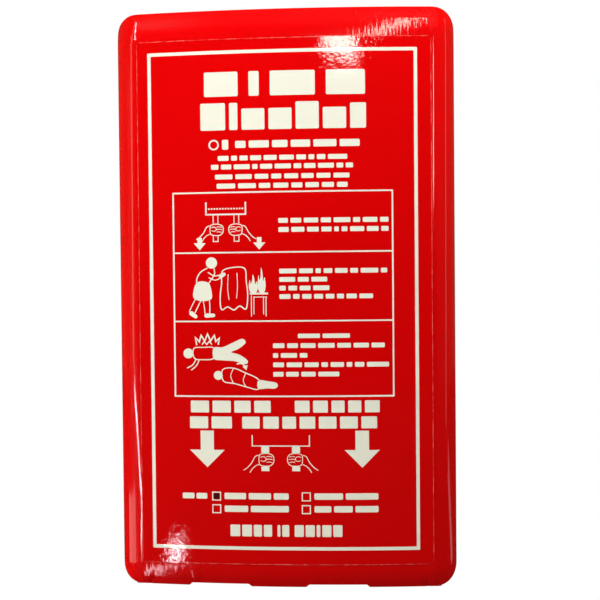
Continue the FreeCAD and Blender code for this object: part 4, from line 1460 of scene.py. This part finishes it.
# Strips that show only as highlights. Each end is a point of the surface (mm) and the
# (azimuth, elevation) in which the strip's end lies from it.
# name, start, end, apparent width in degrees, radiance, colour, distance in metres
LAMPS = [
    ("lamp_main", ((27, -35.5, 114), (4.2, 13.7)), ((28, -35.4, 121), (4.7, 15.6)),
     5.2, 27, (1, 0.99, 0.88), 1.35),
    ("lamp_main_tail", ((42, -34.8, 123), (8.8, 15.4)), ((61, -32.4, 131.5), (18.5, 46)),
     2.4, 17, (1, 0.97, 0.85), 1.35),
    ("low_left", ((-49.5, -34.3, -125), (-18.6, -16)), ((-56.5, -33.7, -119), (-20.4, -17.2)),
     1.3, 36, (1, 0.94, 1), 1.35),
    ("low_left_tail", ((-57.5, -33.4, -128), (-21.2, -21)), ((-68, -31.9, -133.5), (-30.5, -45)),
     1.6, 17, (1, 0.90, 0.98), 0.75),
    ("low_left_edge", ((-70, -32.5, -98), (-28, -13.4)), ((-73.5, -31.4, -46), (-64, -6.4)),
     1.5, 30, (1, 0.93, 0.97), 1.35),
    ("low_left_edge_end", ((-70, -32.5, -98), (-28, -13.6)), ((-71, -32.3, -118), (-37, -16)),
     1.5, 26, (1, 0.93, 0.97), 1.35),
    ("top_left_edge", ((-70.5, -32.3, 125), (-34.5, 19)), ((-70.8, -30.6, 134.1), (-45, 50)),
     3.0, 34, (1, 1, 1), 1.35),
    ("pillar_left", ((-72.2, -32, 120), (-50, 40)), ((-73.6, -31.3, -30), (-67, -5)),
     4.5, 3.0, (1, 0.62, 0.45), 1.35),
    ("pillar_left_low", ((-73.8, -31.2, -110), (-66, -15)), ((-77.3, -28.8, -115), (-100, -15.5)),
     7.0, 2.0, (1, 0.8, 0.75), 1.35),
    ("right_edge", ((71.3, -32.1, 117), (35, 14)), ((71, -32.3, 50), (29, 5)),
     3.0, 22, (1, 0.88, 0.74), 1.35),
    ("pillar_right", ((77.6, -28.5, 118), (98, 32)), ((76.5, -29.5, -60), (84, -9)),
     2.6, 1.5, (1, 0.85, 0.8), 1.35),
    ("pillar_right_low", ((77.4, -28.6, -75), (92, -11)), ((79.3, -26.6, -122), (114, -18)),
     4.0, 1.1, (1, 0.85, 0.85), 1.35),
]


def add_softbox(name, place, aim, size, power, spread):
    box = area_light(name, *size, power)
    box.data.spread = math.radians(spread)
    box.location = place
    box.rotation_mode = "QUATERNION"
    box.rotation_quaternion = (Vector(aim) - Vector(place)).to_track_quat("-Z", "Y")
    box.visible_glossy = False


def add_lamp(name, start, end, degrees, radiance, colour, distance):
    a, b = (
        Vector(point) * MM + Vector(toward(*direction, distance))
        for point, direction in (start, end)
    )
    aim = (Vector(start[0]) + Vector(end[0])) / 2 * MM
    middle = (a + b) / 2
    y = (b - a).normalized()
    z = middle - aim
    z = (z - y * z.dot(y)).normalized()
    width = 2 * distance * math.tan(math.radians(degrees) / 2)
    height = (b - a).length
    lamp = area_light(name, width, height, 0.0)
    # the light's own size is read back, so that the radiance fits it exactly
    lamp.data.energy = radiance * math.pi * lamp.data.size * lamp.data.size_y
    lamp.data.color = colour
    lamp.matrix_world = pose(middle, y.cross(z), y, z)
    lamp.visible_diffuse = False


def build_lights(covers):
    for row in SOFTBOXES:
        add_softbox(*row)
    for row in LAMPS:
        add_lamp(*row)
    # the side lamps show in the covers only, so that the label seen edge on doesn't turn white
    receivers = bpy.data.collections.new("covers_only")
    for cover in covers:
        receivers.objects.link(cover)
    for name in ("pillar_left", "pillar_left_low", "pillar_right", "pillar_right_low"):
        bpy.data.objects[name].light_linking.receiver_collection = receivers


# ---------------------------------------------------------------- camera
CAMERA_AZIMUTH, CAMERA_ELEVATION, CAMERA_ROLL = 3.551, 1.185, -0.546  # degrees
CAMERA_DISTANCE = 450.0
CAMERA_TARGET_Y = -20
CAMERA_LENS = 54.91818
CAMERA_SHIFT_X, CAMERA_SHIFT_Y = 0.023006667, -0.0023216667


def build_camera():
    data = bpy.data.cameras.new("camera")
    camera = link_object("camera", data)
    back = Vector(toward(CAMERA_AZIMUTH, CAMERA_ELEVATION, 1.0))
    level = (-back).cross(Vector((0, 0, 1))).normalized()
    up = level.cross(-back)
    roll = math.radians(CAMERA_ROLL)
    x = math.cos(roll) * level + math.sin(roll) * up
    y = -math.sin(roll) * level + math.cos(roll) * up
    target = Vector((0, CAMERA_TARGET_Y * MM, 0))
    camera.matrix_world = pose(target + back * CAMERA_DISTANCE * MM, x, y, back)
    data.sensor_width = 36.0
    data.lens = CAMERA_LENS
    data.shift_x, data.shift_y = CAMERA_SHIFT_X, CAMERA_SHIFT_Y
    data.clip_start, data.clip_end = 0.01, 50.0
    scene = bpy.context.scene
    scene.camera = camera
    scene.view_settings.view_transform = "Standard"
    scene.view_settings.look = "None"


# ---------------------------------------------------------------- build, in order
front_cover = build_front_cover()
back_cover = finish_back_cover()
build_label()
build_blanket()
for tape_side, tape_x in zip(("left", "right"), TAPE_X):
    build_tape(tape_side, tape_x)
for tape_side in ("left", "right"):
    build_tape_thread(tape_side)
build_hem_thread()
build_floor()
build_world()
build_lights((front_cover, back_cover))
build_camera()
